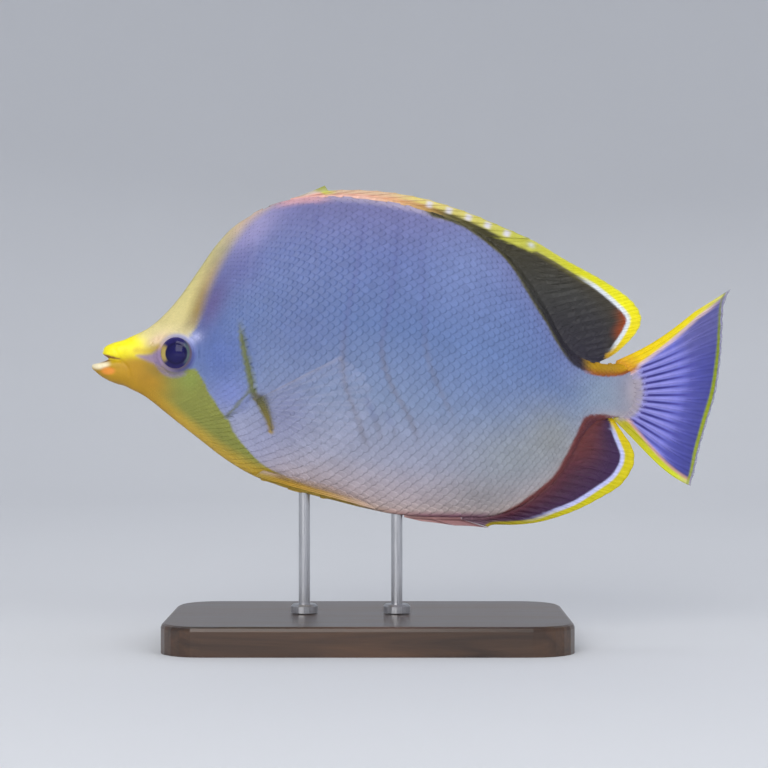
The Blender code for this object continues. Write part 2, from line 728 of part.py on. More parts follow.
def stand_base(look):
    """A flat plinth with round corners and an eased upper edge."""
    built = bmesh.new()
    bmesh.ops.create_cube(built, size=1.0)
    size = Vector((BASE_LENGTH, BASE_WIDTH, BASE_THICKNESS)) * MM
    for v in built.verts:
        v.co = Vector((v.co.x * size.x + BASE_MIDDLE_X * MM, v.co.y * size.y, (v.co.z + 0.5) * size.z))
    upright = [e for e in built.edges if abs(e.verts[0].co.z - e.verts[1].co.z) > size.z / 2]
    bmesh.ops.bevel(built, geom=upright, offset=12 * MM, segments=6, profile=0.5, affect="EDGES")
    upper = [e for e in built.edges if all(v.co.z > size.z * 0.99 for v in e.verts)]
    bmesh.ops.bevel(built, geom=upper, offset=1.2 * MM, segments=2, profile=0.5, affect="EDGES")
    mesh = bpy.data.meshes.new("stand_base")
    built.to_mesh(mesh)
    built.free()
    return new_object("stand_base", mesh, look)


def stand_rod(name, x, look):
    low = BASE_THICKNESS + GAP
    collar = low + ROD_COLLAR_HEIGHT
    top = FISH_LIFT + belly_h(x) + ROD_SOCKET_DEPTH
    outline = [(ROD_COLLAR_RADIUS, low), (ROD_COLLAR_RADIUS, collar - 0.6),
               (ROD_COLLAR_RADIUS - 0.6, collar), (ROD_RADIUS, collar), (ROD_RADIUS, top - 0.4),
               (ROD_RADIUS - 0.4, top)]
    return turned(name, outline, x, look)


def shade(target, angle=35.0):
    target.data.shade_smooth()
    target.data.set_sharp_from_angle(angle=math.radians(angle))


def build_flesh(parent):
    """The head, trunk and tail stalk: one body parted by thin cuts, with its sockets and recesses."""
    rear = offset_path(HEAD_REAR, GAP / 2)
    front = offset_path(HEAD_REAR, -GAP / 2)
    head = body_whole("head")
    head.data.materials.append(material("head_skin", HEAD_LAVENDER))
    combine(head, [eye_rim(side) for side in (-1, 1)], "UNION")
    combine(head, [prism("head_part", [(-95.0, 96.0), *front, (-95.0, 15.0)])], "INTERSECT")
    cutters = [eye_shape("eye_socket", side, GAP) for side in (-1, 1)]
    cutters += [gill_plate("gill_recess", side, GAP, 4.0) for side in (-1, 1)]
    for x, h in NOSTRILS:
        for side in (-1, 1):
            centre = (x, side * (flank_y(x, h) + 0.1), h)
            cutters.append(ellipsoid("nostril", centre, [NOSTRIL_RADIUS] * 3, 8, 4))
    for cutter in cutters:
        combine(head, [cutter], "DIFFERENCE")

    trunk = body_whole("trunk")
    trunk.data.materials.append(material("trunk_skin", BODY_BLUE))
    stalk_front = STALK_X - GAP / 2
    below = -5.0
    outline = [*rear, (rear[-1][0], below), (stalk_front, below), (stalk_front, 96.0)]
    combine(trunk, [prism("trunk_part", outline)], "INTERSECT")
    cutters = [gill_plate("gill_recess", side, GAP, 4.0) for side in (-1, 1)]
    cutters += [socket_cutter(x) for x in ROD_PLACES.values()]
    for cutter in cutters:
        combine(trunk, [cutter], "DIFFERENCE")

    stalk = body_whole("tail_stalk")
    stalk.data.materials.append(material("stalk_skin", BELLY_GREY))
    root = offset_path(CAUDAL_ROOT, -GAP / 2)
    outline = [(STALK_X + GAP / 2, 55.0), (56.5, 55.0), *root, (56.0, 22.0), (STALK_X + GAP / 2, 22.0)]
    combine(stalk, [prism("stalk_part", outline)], "INTERSECT")
    for piece in (head, trunk, stalk):
        piece.parent = parent
        shade(piece)


def build_face(parent):
    """The jaws with their lips, the gill covers and the eyes."""
    yellow, gold = material("upper_lip", MOUTH_YELLOW), material("lower_lip", CHIN_GOLD)
    upper = jaw("upper_jaw", UPPER_JAW, -1, UPPER_LIP, UPPER_LIP_RADII, yellow)
    lower = jaw("lower_jaw", LOWER_JAW, 1, LOWER_LIP, LOWER_LIP_RADII, gold)
    for piece in (upper, lower):
        piece.parent = parent
        shade(piece)
    for label, side in (("left", -1), ("right", 1)):
        cover = gill_plate("gill_cover_" + label, side)
        cover.data.materials.append(material("gill_cover_" + label, GILL_BLUE))
        eye = eye_shape("eye_" + label, side)
        eye.data.materials.append(material("eye_" + label, EYE_BLACK, 0.12))
        for piece in (cover, eye):
            piece.parent = parent
            shade(piece)


def build_fins(parent):
    made = [
        dorsal_spiny(material("dorsal_spines", SPINE_YELLOW), parent),
        dorsal_soft(material("dorsal_soft", FIN_BLACK), parent),
        anal_spiny(material("anal_spines", FIN_MAROON), parent),
        anal_soft(material("anal_soft", FIN_MAROON), parent),
        caudal(material("caudal", CAUDAL_LAVENDER), parent),
    ]
    for label, side in (("left", -1), ("right", 1)):
        clear = material("pectoral_" + label, CLEAR_FIN)
        pale = material("pelvic_" + label, SPINE_YELLOW)
        made.append(pectoral("pectoral_fin_" + label, side, clear, parent))
        made.append(pelvic("pelvic_fin_" + label, side, pale, parent))
    for piece in made:
        shade(piece, 50.0)


def build_stand():
    shade(stand_base(material("plinth", STAND_DARK, 0.35)))
    for name, x in ROD_PLACES.items():
        shade(stand_rod(name, x, material(name, STEEL_GREY, 0.3, 1.0)))


def main():
    clear_scene()
    fish = bpy.data.objects.new("fish", None)
    bpy.context.scene.collection.objects.link(fish)
    fish.location = (0.0, 0.0, FISH_LIFT * MM)
    build_flesh(fish)
    build_face(fish)
    build_fins(fish)
    build_stand()


main()
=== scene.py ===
# %% [markdown]
# # A museum model of a yellowhead butterflyfish
# The solids of this fish are already packed: head, trunk, fins, eyes, and a stand under them.
# This lesson dresses them. One skin takes the place of all the flesh, so that no seam shows, small
# solid scales overlap on it from the cheeks to the tail, and finer fins and eyes replace the plain
# ones. Nothing is moved: each new piece lies where its solid lies.

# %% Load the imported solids
import json
import math

import bmesh
import bpy
import numpy as np
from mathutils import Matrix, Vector

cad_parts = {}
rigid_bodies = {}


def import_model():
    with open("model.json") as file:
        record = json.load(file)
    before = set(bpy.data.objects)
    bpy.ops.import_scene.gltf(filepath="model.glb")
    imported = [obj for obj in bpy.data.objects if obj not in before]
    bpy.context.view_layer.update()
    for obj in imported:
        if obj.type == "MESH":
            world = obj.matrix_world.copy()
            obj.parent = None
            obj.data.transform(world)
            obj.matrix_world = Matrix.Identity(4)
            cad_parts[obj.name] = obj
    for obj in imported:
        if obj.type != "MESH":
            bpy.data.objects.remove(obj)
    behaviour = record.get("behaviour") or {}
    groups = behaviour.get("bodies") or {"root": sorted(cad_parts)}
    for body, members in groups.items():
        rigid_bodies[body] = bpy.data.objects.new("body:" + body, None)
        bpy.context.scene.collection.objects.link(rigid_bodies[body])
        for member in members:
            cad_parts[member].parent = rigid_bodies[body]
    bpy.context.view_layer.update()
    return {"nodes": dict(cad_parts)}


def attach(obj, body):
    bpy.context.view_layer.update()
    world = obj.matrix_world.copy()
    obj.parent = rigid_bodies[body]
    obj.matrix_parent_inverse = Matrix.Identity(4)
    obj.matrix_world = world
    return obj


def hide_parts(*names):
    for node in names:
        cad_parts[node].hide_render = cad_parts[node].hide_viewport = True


for item in list(bpy.data.objects):
    bpy.data.objects.remove(item, do_unlink=True)
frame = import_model()
MM = 0.001

# %% [markdown]
# ## The camera
# The photo looks square at the left flank from a little in front of the middle of the body. A long
# lens keeps the outline free of perspective. From six times its focal length, a 36 mm sensor sees
# 216 mm across, the width of the photo at the fish.

# %% Camera
LENS = 100.0
SENSOR = 36.0
CAMERA_DISTANCE = 600.0
CAMERA_X = -7.6
CAMERA_Z = 72.5


def new_object(name, data):
    """An object of the scene."""
    made = bpy.data.objects.new(name, data)
    bpy.context.scene.collection.objects.link(made)
    return made


camera_data = bpy.data.cameras.new("camera")
camera_data.lens = LENS
camera_data.sensor_width = SENSOR
camera = new_object("camera", camera_data)
camera.location = Vector((CAMERA_X, -CAMERA_DISTANCE, CAMERA_Z)) * MM
camera.rotation_euler = (math.radians(90), 0.0, 0.0)
bpy.context.scene.camera = camera
print("field at the fish:", CAMERA_DISTANCE * SENSOR / LENS, "mm wide")

# %% [markdown]
# ## The body's measures
# A place on the flank is (x, h) in millimetres: x runs from the middle of the whole length to the
# tail, and h is the height over the fish's lowest point. The solids were built from the same few
# points, so the skin shares their outline. A smooth curve through them gives the height at any x.

# %% Outline of the body
FISH_LIFT = 32.0
SIDES = (("left", -1), ("right", 1))
BACK = [
    (-80.4, 53.1), (-75.9, 55.3), (-72, 57.9), (-66, 64.1), (-60, 72.5), (-55.2, 79.4), (-50.4, 84.5),
    (-45, 88.1), (-39, 90.9), (-31, 92.7), (-20, 93.2), (-6, 91.7), (6.2, 88.7), (16.6, 84.3), (25, 78.5),
    (32.9, 70.1), (38.5, 60.8), (43.4, 51.8), (48.4, 47.6), (54.6, 46.4), (60.2, 46.5), (66, 47.4)]
BELLY = [
    (-80.4, 39.9), (-75.3, 37.1), (-67.8, 31.2), (-60.3, 25.3), (-52, 19), (-45.3, 15), (-37.8, 12),
    (-30.3, 9.8), (-22.8, 7.9), (-14.6, 5.8), (-6.3, 4), (2, 3.1), (11, 2.9), (21.9, 3), (28.4, 4.8),
    (34.9, 8.4), (40.8, 13.4), (45, 19.7), (48.4, 26.2), (52, 30), (56.5, 30.9), (61.6, 30.2), (66, 29)]
HALF_WIDTH = [
    (-80.4, 3.1), (-73, 4.4), (-66, 6.1), (-59, 7.9), (-52, 9.5), (-42, 10.8), (-30, 11.4), (-15, 11.2),
    (0, 10.3), (15, 8.6), (30, 6.2), (42, 4.3), (52, 3.2), (60, 2.5), (66, 2.1)]
WIDEST_LINE = [(-80.4, 46.5), (-65, 47), (-45, 46), (-15, 45), (15, 43), (40, 39.5), (66, 38.2)]
BACK_EDGE = [(-80.4, 1), (-60, 1), (-35, 1.1), (20, 1.2), (50, 1.1), (66, 1)]
KEEL_EDGE = [(-80.4, 1.1), (-60, 1.4), (-42, 2.1), (-5, 2.1), (8, 1.4), (50, 1.1), (66, 1)]
LENS_POWER = 1.25


def profile(points):
    """A smooth curve of one value over x, through a few (x, value) points."""
    xs, values = np.array(points, float).T
    rises = np.diff(values) / np.diff(xs)
    slopes = np.concatenate([rises[:1], (rises[:-1] + rises[1:]) / 2, rises[-1:]])

    def at(x):
        x = np.clip(x, xs[0], xs[-1])
        i = np.clip(np.searchsorted(xs, x, side="right") - 1, 0, len(xs) - 2)
        step = xs[i + 1] - xs[i]
        u = (x - xs[i]) / step
        start = (2 * u ** 3 - 3 * u ** 2 + 1) * values[i] + (u ** 3 - 2 * u ** 2 + u) * step * slopes[i]
        end = (3 * u ** 2 - 2 * u ** 3) * values[i + 1] + (u ** 3 - u ** 2) * step * slopes[i + 1]
        return start + end

    return at


back_h = profile(BACK)
belly_h = profile(BELLY)
widest_h = profile(WIDEST_LINE)
half_width = profile(HALF_WIDTH)
back_edge = profile(BACK_EDGE)
keel_edge = profile(KEEL_EDGE)
stations = np.arange(-80, 60)
print("deepest body:", round(float(np.max(back_h(stations) - belly_h(stations))), 1), "mm")

# %% [markdown]
# The flesh ends on the tail fin in a rounded edge, where the tail's rays begin. There the upper and
# the lower outline run together and the flesh grows thin.

# %% Where the flesh ends on the tail
FLESH_END_TOP = [(56, 46.5), (59, 46.3), (61.2, 45.2), (62.8, 43.6), (63.8, 41.4), (64.4, 38.4)]
FLESH_END_BOTTOM = [(56, 30.8), (58.6, 31), (61, 31.9), (62.7, 33.6), (63.8, 35.8), (64.4, 38)]
FLESH_REAR_X = 64.4
FLESH_THINS_FROM = 57.0
FLESH_REAR_SHARE = 0.35

flesh_top = profile(FLESH_END_TOP)
flesh_bottom = profile(FLESH_END_BOTTOM)


def ease(start, end, value):
    """0 before start and 1 after end, eased between them. End may be the lower of the two."""
    u = np.clip((value - start) / (end - start), 0.0, 1.0)
    return u * u * (3 - 2 * u)


def section(x, turn):
    """Half width and height of the flank at x: turn is -90 degrees at the keel and 90 at the back."""
    top = np.where(x > FLESH_END_TOP[0][0], flesh_top(x), back_h(x))
    bottom = np.where(x > FLESH_END_BOTTOM[0][0], flesh_bottom(x), belly_h(x))
    middle = widest_h(x)
    edge = np.where(turn > 0, back_edge(x), keel_edge(x))
    thin = 1 - (1 - FLESH_REAR_SHARE) * ease(FLESH_THINS_FROM, FLESH_REAR_X, x)
    reach = np.where(turn > 0, top - middle, middle - bottom)
    y = edge + (half_width(x) - edge) * np.maximum(np.cos(turn), 0.0) ** LENS_POWER
    return y * thin, middle + reach * np.sin(turn)


print("half width at the gill covers:", round(float(section(-48, 0)[0]), 2), "mm")

# %% [markdown]
# ## Lines on the flank
# Gill cover, mouth, fins and markings all follow curves. A few helpers serve them all: a smooth
# curve through some points, places along it, and each place's distance from it. A closed outline
# also tells inside from outside, as a distance that is positive inside.

# %% Curves and distances
def curve(points, closed=False, steps=6):
    """Closely spaced points on a smooth curve through the given ones."""
    given = np.array(points, float)
    count = len(given)
    u = np.linspace(0, 1, steps, endpoint=False)[:, None]
    spans = []
    for i in range(count if closed else count - 1):
        near = [(i + k) % count if closed else min(max(i + k, 0), count - 1) for k in (-1, 0, 1, 2)]
        p0, p1, p2, p3 = given[near]
        bend = 2 * p0 - 5 * p1 + 4 * p2 - p3
        spans.append(0.5 * (2 * p1 + (p2 - p0) * u + bend * u ** 2 + (3 * p1 - p0 - 3 * p2 + p3) * u ** 3))
    return np.vstack([*spans, given[:1] if closed else given[-1:]])


def points_of(*parts):
    """Arrays of single coordinates as one array of points."""
    return np.stack(parts, axis=-1)


def lengths_along(line):
    """The length of a line up to each of its points."""
    return np.concatenate([[0.0], np.cumsum(np.linalg.norm(np.diff(line, axis=0), axis=1))])


def walk(line, shares):
    """Places at the given shares of a line's length."""
    lengths = lengths_along(line)
    wanted = np.clip(shares, 0, 1) * lengths[-1]
    return points_of(*[np.interp(wanted, lengths, column) for column in line.T])


def nearest(line, places, reach=1e9):
    """Each place's distance from a line and the share of the line where it comes nearest."""
    distance = np.full(len(places), 1e9)
    share = np.zeros(len(places))
    low, high = line.min(axis=0) - reach, line.max(axis=0) + reach
    near = np.nonzero(np.all((places >= low) & (places <= high), axis=1))[0]
    lengths = lengths_along(line)
    here = places[near]
    for a, b, start, end in zip(line[:-1], line[1:], lengths[:-1], lengths[1:]):
        along = b - a
        u = np.clip((here - a) @ along / max(along @ along, 1e-12), 0.0, 1.0)
        gap = np.hypot(here[:, 0] - a[0] - u * along[0], here[:, 1] - a[1] - u * along[1])
        closer = gap < distance[near]
        spots = near[closer]
        distance[spots] = gap[closer]
        share[spots] = (start + u[closer] * (end - start)) / lengths[-1]
    return distance, share


def depth_inside(outline, places):
    """Distance from a closed outline, positive inside it and negative outside."""
    inside = np.zeros(len(places), bool)
    x, h = places[:, 0], places[:, 1]
    for a, b in zip(outline, np.roll(outline, -1, axis=0)):
        crosses = (a[1] > h) != (b[1] > h)
        rise = b[1] - a[1] if b[1] != a[1] else 1e-12
        inside ^= crosses & (x < (b[0] - a[0]) * (h - a[1]) / rise + a[0])
    distance, _ = nearest(np.vstack([outline, outline[:1]]), places)
    return np.where(inside, distance, -distance)


def depth_in_curve(corners, places, steps=3):
    """The same distance for a smooth closed curve through a few corners."""
    return depth_inside(curve(corners, closed=True, steps=steps), places)


print("helpers for curves are ready")

# %% [markdown]
# ## Colours of the flank
# The photo's water tints everything blue, and the model keeps that: a lilac-blue body that pales to
# beige on the belly, a cream forehead, a bright yellow snout and olive cheeks. The markings are
# painted in code, layer over layer, each a colour and a mask that comes from a named curve. One
# function then colours skin and scales alike, at any place, and no picture is needed.

# %% Painting tools
def tone(red, green, blue):
    """An sRGB colour of 0 to 255 as the linear values that a shader takes."""
    shares = np.array((red, green, blue), float) / 255
    return np.where(shares <= 0.04045, shares / 12.92, ((shares + 0.055) / 1.055) ** 2.4)


def blend(value, stops):
    """Colours read from a few stops, each a value and its red, green and blue."""
    at = [stop[0] for stop in stops]
    tones = [tone(*stop[1:]) for stop in stops]
    return points_of(*[np.interp(value, at, [shade[k] for shade in tones]) for k in range(3)])


def paint(under, colour, mask):
    """A layer of colour over what is there, as thick as its mask."""
    return under + (colour - under) * np.clip(mask, 0, 1)[:, None]


def paint_all(under, layers):
    """Several layers, each a colour and its mask, one after the other."""
    for colour, mask in layers:
        under = paint(under, colour, mask)
    return under


def spot(places, centre, radii, tilt=0.0):
    """A soft round mask, 1 in its middle; tilt turns it, in degrees."""
    away = places - np.array(centre)
    cos, sin = math.cos(math.radians(tilt)), math.sin(math.radians(tilt))
    along = (away[:, 0] * cos + away[:, 1] * sin) / radii[0]
    across = (away[:, 1] * cos - away[:, 0] * sin) / radii[1]
    return np.exp(-(along ** 2 + across ** 2))


def stripe(places, line, half, soft):
    """A mask along a line; half may be one half width or a function of the share along it."""
    distance, share = nearest(line, places, 4)
    width = half(share) if callable(half) else half
    return ease(width + soft, np.maximum(width - soft, 0), distance)


print("lilac-blue as linear values:", np.round(tone(97, 115, 163), 3))

# %% [markdown]
# The flank fades from the back to the belly, and a few wide soft spots shift it from there: partly
# the fish's own tints, partly painted light and shade, lighter and darker patches where light falls
# on the body. Fine dark lines bend across it like arrowheads that point to the head, weak above and
# browner below.

# %% The flank's own colours
FLANK_STOPS = [
    (0, 204, 182, 174), (0.05, 180, 166, 170), (0.17, 152, 154, 174), (0.36, 122, 137, 168),
    (0.6, 92, 113, 160), (0.82, 96, 109, 160), (0.97, 112, 112, 158), (1, 120, 116, 154)]
# Each spot is a colour, a centre, radii, a tilt and a strength. Some are the fish's own tints and some are
# painted light and shade, lighter or darker where light falls on the flank.
FLANK_TINTS_AND_PAINTED_LIGHT = [
    ((103, 125, 172), (22, 50), (20, 22), 0, 0.6),
    ((140, 146, 150), (30, 19), (17, 11), 0, 0.75),
    ((124, 124, 124), (20, 8), (12, 6), 0, 0.5),
    ((138, 138, 130), (40, 26), (8, 9), 40, 0.6),
    ((134, 148, 166), (55, 39), (10, 9), 0, 0.8),
    ((164, 154, 162), (64, 38.5), (5.5, 10), 0, 0.95),
    ((84, 104, 166), (-53, 48), (9, 11), 0, 0.9),
    ((110, 124, 190), (-50, 37.5), (6, 5), 0, 0.7),
    ((152, 156, 188), (-44.5, 24), (9, 8), -35, 0.8),
    ((156, 150, 192), (-44, 84), (4, 11), -40, 0.8),
    ((92, 80, 130), (-55.4, 63), (3.6, 9), -24, 0.85),
    ((94, 92, 150), (-47, 73), (5, 7), -20, 0.5),
    ((90, 104, 152), (-31, 56), (12, 13), 0, 0.6),
    ((118, 134, 180), (15, 73), (12, 12), 0, 0.6),
    ((112, 112, 158), (-35, 33), (7, 9), 0, 0.45),
]
ARROW_LINES = [
    ([(-26.4, 89), (-26.6, 80), (-27.2, 68)], 0.36, 0.08),
    ([(-13.4, 90.6), (-14, 80), (-16.6, 66), (-18.6, 55.7), (-18.9, 42.2), (-14.8, 30), (-11.2, 19.5)],
     0.4, 0.52),
    ([(-13.2, 37.6), (-10.1, 30.4), (-8.2, 24)], 0.30, 0.34),
    ([(-7.2, 33.4), (-4.2, 24.5)], 0.2, 0.24),
    ([(-3.8, 89.4), (-4.6, 74), (-7, 60), (-8.4, 50), (-5.8, 40.1), (-0.8, 31.2), (2.6, 22)], 0.4, 0.52),
    ([(2.5, 84), (3.2, 66), (4, 49.8), (7.2, 40), (12.7, 28.7)], 0.3, 0.34),
]
ARROW_VIOLET = tone(84, 88, 142)
ARROW_BROWN = tone(106, 100, 108)


def flank_colour(places):
    """The body's colours behind the face."""
    x, h = places.T
    share = (h - belly_h(x)) / (back_h(x) - belly_h(x))
    colour = blend(share, FLANK_STOPS)
    for shade, centre, radii, tilt, strength in FLANK_TINTS_AND_PAINTED_LIGHT:
        colour = paint(colour, tone(*shade), strength * spot(places, centre, radii, tilt))
    for points, upper, lower in ARROW_LINES:
        line = curve(points)
        _, along = nearest(line, places, 3)
        strength = upper + (lower - upper) * ease(0.45, 0.62, along)
        strength = strength * ease(0, 0.12, along) * ease(1, 0.9, along)
        shade = paint(np.tile(ARROW_VIOLET, (len(places), 1)), ARROW_BROWN, ease(0.4, 0.65, along))
        colour = paint(colour, shade, 0.85 * strength * stripe(places, line, 0.4, 0.9))
    return colour


print("arrow lines:", len(ARROW_LINES))

# %% [markdown]
# ### The yellow face
# One closed outline holds all of the yellow: the forehead, the snout, the cheek and the throat,
# with a thin tail of gold that runs on along the belly. Inside it the colour goes from cream above
# over bright yellow on the snout to olive on the cheek, with gold along the throat's edge.

# %% The face's colours
FACE_OUTLINE = [
    (-26, 94), (-36.8, 91.4), (-44.2, 86.6), (-48.5, 81.4), (-52, 75.8), (-53.9, 72.2), (-55.5, 68.7),
    (-57.2, 64.4), (-58.6, 59.7), (-59.9, 56.3), (-61.6, 53.6), (-62.4, 49), (-62.2, 45), (-59.9, 44.6),
    (-58.6, 42.6), (-57.2, 40.4), (-56.4, 38.2), (-54.5, 35.6), (-53, 33), (-50.7, 30.4), (-49.5, 27.4),
    (-47.7, 24.8), (-45.1, 21.8), (-42.3, 18.8), (-37.5, 15.9), (-31.6, 13.2), (-24.4, 10.2), (-15.8, 6.4),
    (-15, -4), (-100, -4), (-100, 110), (-26, 110)]
FACE_SPOTS = [
    ((250, 238, 20), (-81, 50.8), (6, 3.3), 12, 1),
    ((188, 142, 10), (-78, 45), (6.5, 3), 0, 0.85),
    ((176, 132, 28), (-74, 42), (6, 3.4), -30, 0.85),
    ((140, 114, 40), (-71.5, 44.5), (3.2, 2.2), -20, 0.6),
    ((132, 146, 66), (-61.6, 42), (2.8, 3.2), 0, 0.6),
    ((232, 202, 168), (-70.8, 52.9), (3.6, 1.6), 25, 0.7),
]
OLIVE = tone(132, 136, 62)
SNOUT_GOLD = tone(174, 132, 18)
SNOUT_YELLOW = tone(246, 230, 36)
GOLD = tone(196, 162, 56)
CREAM_STOPS = [
    (50, 230, 216, 168), (58, 214, 200, 138), (66, 212, 200, 134), (76, 206, 196, 130), (86, 208, 198, 142)]
BROWN_STOPS = [
    (54, 164, 152, 120), (61, 148, 124, 72), (70, 170, 148, 108), (78, 170, 160, 132), (86, 204, 178, 156)]


def face_colour(places, depth):
    """Cream forehead, yellow snout, olive cheek and gold throat; depth is inwards from the edge."""
    x, h = places.T
    over_throat = (h - belly_h(x)) * 0.8
    forehead = paint(blend(h, CREAM_STOPS), blend(h, BROWN_STOPS), ease(5.4, 0.9, depth) * ease(53, 58, h))
    colour = paint_all(np.tile(OLIVE, (len(places), 1)), [
        (GOLD, ease(5, 1.2, over_throat)),
        (SNOUT_GOLD, ease(-68, -79, x + 0.5 * (h - 44.0))),
        (SNOUT_YELLOW, ease(46.4, 49.2, h) * ease(-71, -77, x)),
        (forehead, ease(50.2, 53.4, h + 0.12 * (x + 70)) * ease(-79.5, -75, x))])
    for shade, centre, radii, tilt, strength in FACE_SPOTS:
        mask = np.minimum(1.25 * strength * spot(places, centre, radii, tilt), 1.0)
        colour = paint(colour, tone(*shade), mask)
    return colour


print("points round the face:", len(FACE_OUTLINE))

# %% [markdown]
# ### Eye ring, lips and gill lines
# Around the eye the skin is lilac, with a painted highlight above and behind it, and a pale lavender
# wedge points from it to the snout. The lower lip is cream, with orange behind it, and a painted
# blue-white highlight lies on the upper lip's tip. An olive line follows the gill cover's rear edge,
# forks forwards, and a second olive band lies over the pectoral fin's base.

# %% Small markings of the head
EYE_X = -65.4
EYE_H = 49.0
EYE_RADIUS = 4.6
RING_TONES = [
    (-180, 150, 124, 124), (-130, 122, 104, 138), (-80, 64, 54, 112), (0, 80, 90, 150), (45, 146, 152, 206),
    (100, 160, 156, 186), (150, 186, 160, 156), (180, 150, 124, 124)]
WEDGE = [(-76.9, 48.5), (-72.6, 48.9), (-70.2, 50.6), (-69.4, 48), (-69.8, 45.6), (-72.2, 46.4)]
UNDER_EYE = [(-71, 46.2), (-69.2, 43.9), (-66.4, 42.8), (-63.6, 43.3)]
OVER_WEDGE = [(-77, 49.9), (-73.6, 49.7), (-70.6, 50.9)]
GILL_LINE = [(-47.6, 60.4), (-47.3, 56.5), (-46.7, 51.8), (-45.6, 46.7), (-44.4, 41.6), (-43.8, 38.6)]
GILL_FORK = [(-44.4, 39.2), (-45.6, 37.8), (-47.3, 36), (-49.2, 33.8), (-51.1, 31.7)]
FIN_BASE_BAND = [(-43.2, 37), (-41.8, 34.9), (-40.8, 32.9), (-39.8, 30.9), (-39.2, 29), (-39, 27.4)]
OLIVE_LINE = tone(98, 104, 50)
LIP_TONES_AND_HIGHLIGHT = [
    ((246, 232, 192), (-87.6, 46.1), (3.6, 1.7), 0.25, 0.75, 1),
    ((236, 146, 58), (-84.9, 44.2), (2.4, 1.3), 0.25, 0.8, 0.85),
    # A painted highlight: blue-white on the upper lip's tip.
    ((206, 220, 236), (-87.2, 50.1), (1.1, 1.4), 0.3, 0.8, 0.8),
]


def head_marks(places, colour):
    """The eye's ring and a painted highlight above it, the wedge before it, the lips with a painted
    highlight, and the olive lines behind the head.
    """
    away = places - np.array((EYE_X, EYE_H))
    radius = np.hypot(*away.T)
    ring = blend(np.degrees(np.arctan2(away[:, 1], away[:, 0])), RING_TONES)
    colour = paint_all(colour, [
        (ring, ease(6.2, 4.9, radius) * 0.9),
        # The second layer is a painted highlight on the skin above and behind the eye.
        (tone(176, 180, 222), 0.9 * spot(places, (-60.2, 53.4), (1.9, 1.4), 20.0))])
    wedge = depth_in_curve(WEDGE, places)
    colour = paint_all(colour, [
        (tone(142, 120, 156), ease(-0.7, 0.7, wedge) * 0.9),
        (tone(128, 114, 154), 0.75 * stripe(places, curve(UNDER_EYE), 0.5, 0.6)),
        (tone(188, 146, 52), 0.5 * stripe(places, curve(OVER_WEDGE), 0.8, 0.8))])
    for shade, centre, radii, start, end, strength in LIP_TONES_AND_HIGHLIGHT:
        colour = paint(colour, tone(*shade), ease(start, end, spot(places, centre, radii)) * strength)
    line = curve(GILL_LINE)
    _, along = nearest(line, places, 3)
    mask = stripe(places, line, lambda share: 0.65 + 0.45 * share, 0.55) * ease(0.03, 0.35, along)
    band = curve(FIN_BASE_BAND)
    _, along = nearest(band, places, 3)
    shade = blend(along, [(0, 98, 94, 62), (0.5, 114, 108, 66), (1, 160, 134, 60)])
    return paint_all(colour, [
        (OLIVE_LINE, mask * 0.92),
        (tone(100, 106, 84), 0.8 * stripe(places, curve(GILL_FORK), 0.4, 0.5)),
        (shade, 0.95 * stripe(places, band, lambda share: 1.15 - 0.5 * share, 0.5)),
        (tone(72, 68, 66), 0.85 * spot(places, (-41.4, 36.7), (1.6, 1), -15.0))])


print("ring tones round the eye:", len(RING_TONES))

# %% [markdown]
# ### Dark fin roots and the gold on the stalk
# The black of the soft dorsal fin and the maroon of the anal fin begin on the body itself, a little
# inside its outline. On the stalk's upper edge a gold band, orange along its lower side, leads
# into the tail fin.

# %% Colours along the fins' roots
DORSAL_DARK = [
    (4, 89), (10.5, 86.3), (15.5, 84.2), (20.2, 80.8), (25.6, 76.4), (29.4, 71.4), (33.2, 64.7),
    (37.7, 57.5), (41.4, 50.8), (45.2, 46), (49, 44.2), (54, 44), (60, 46.5), (66, 52), (70, 70), (50, 100),
    (4, 100)]
ANAL_DARK = [
    (16, 2.2), (21.9, 3.2), (27.8, 5.4), (33.8, 9.4), (39.7, 14.4), (43.4, 20.6), (46.6, 27.2),
    (48.3, 30.9), (51.5, 31.9), (56, 31.5), (60, 29.6), (66, 18), (60, -6), (16, -6)]
STALK_GOLD = [
    (44.6, 46.6), (47.4, 44.3), (51, 43), (55.2, 42.6), (58.8, 42.9), (61.6, 44), (65.8, 46.6), (60, 52),
    (46, 52)]
BELLY_EDGE_STOPS = [
    (-40, 190, 158, 60), (-16, 200, 168, 84), (-11, 214, 186, 164), (-4, 204, 164, 158), (4, 168, 112, 132),
    (20, 124, 82, 108)]
DORSAL_TONES = [(45, 40, 36, 50), (58, 42, 40, 44), (66, 54, 53, 50), (80, 56, 52, 34)]


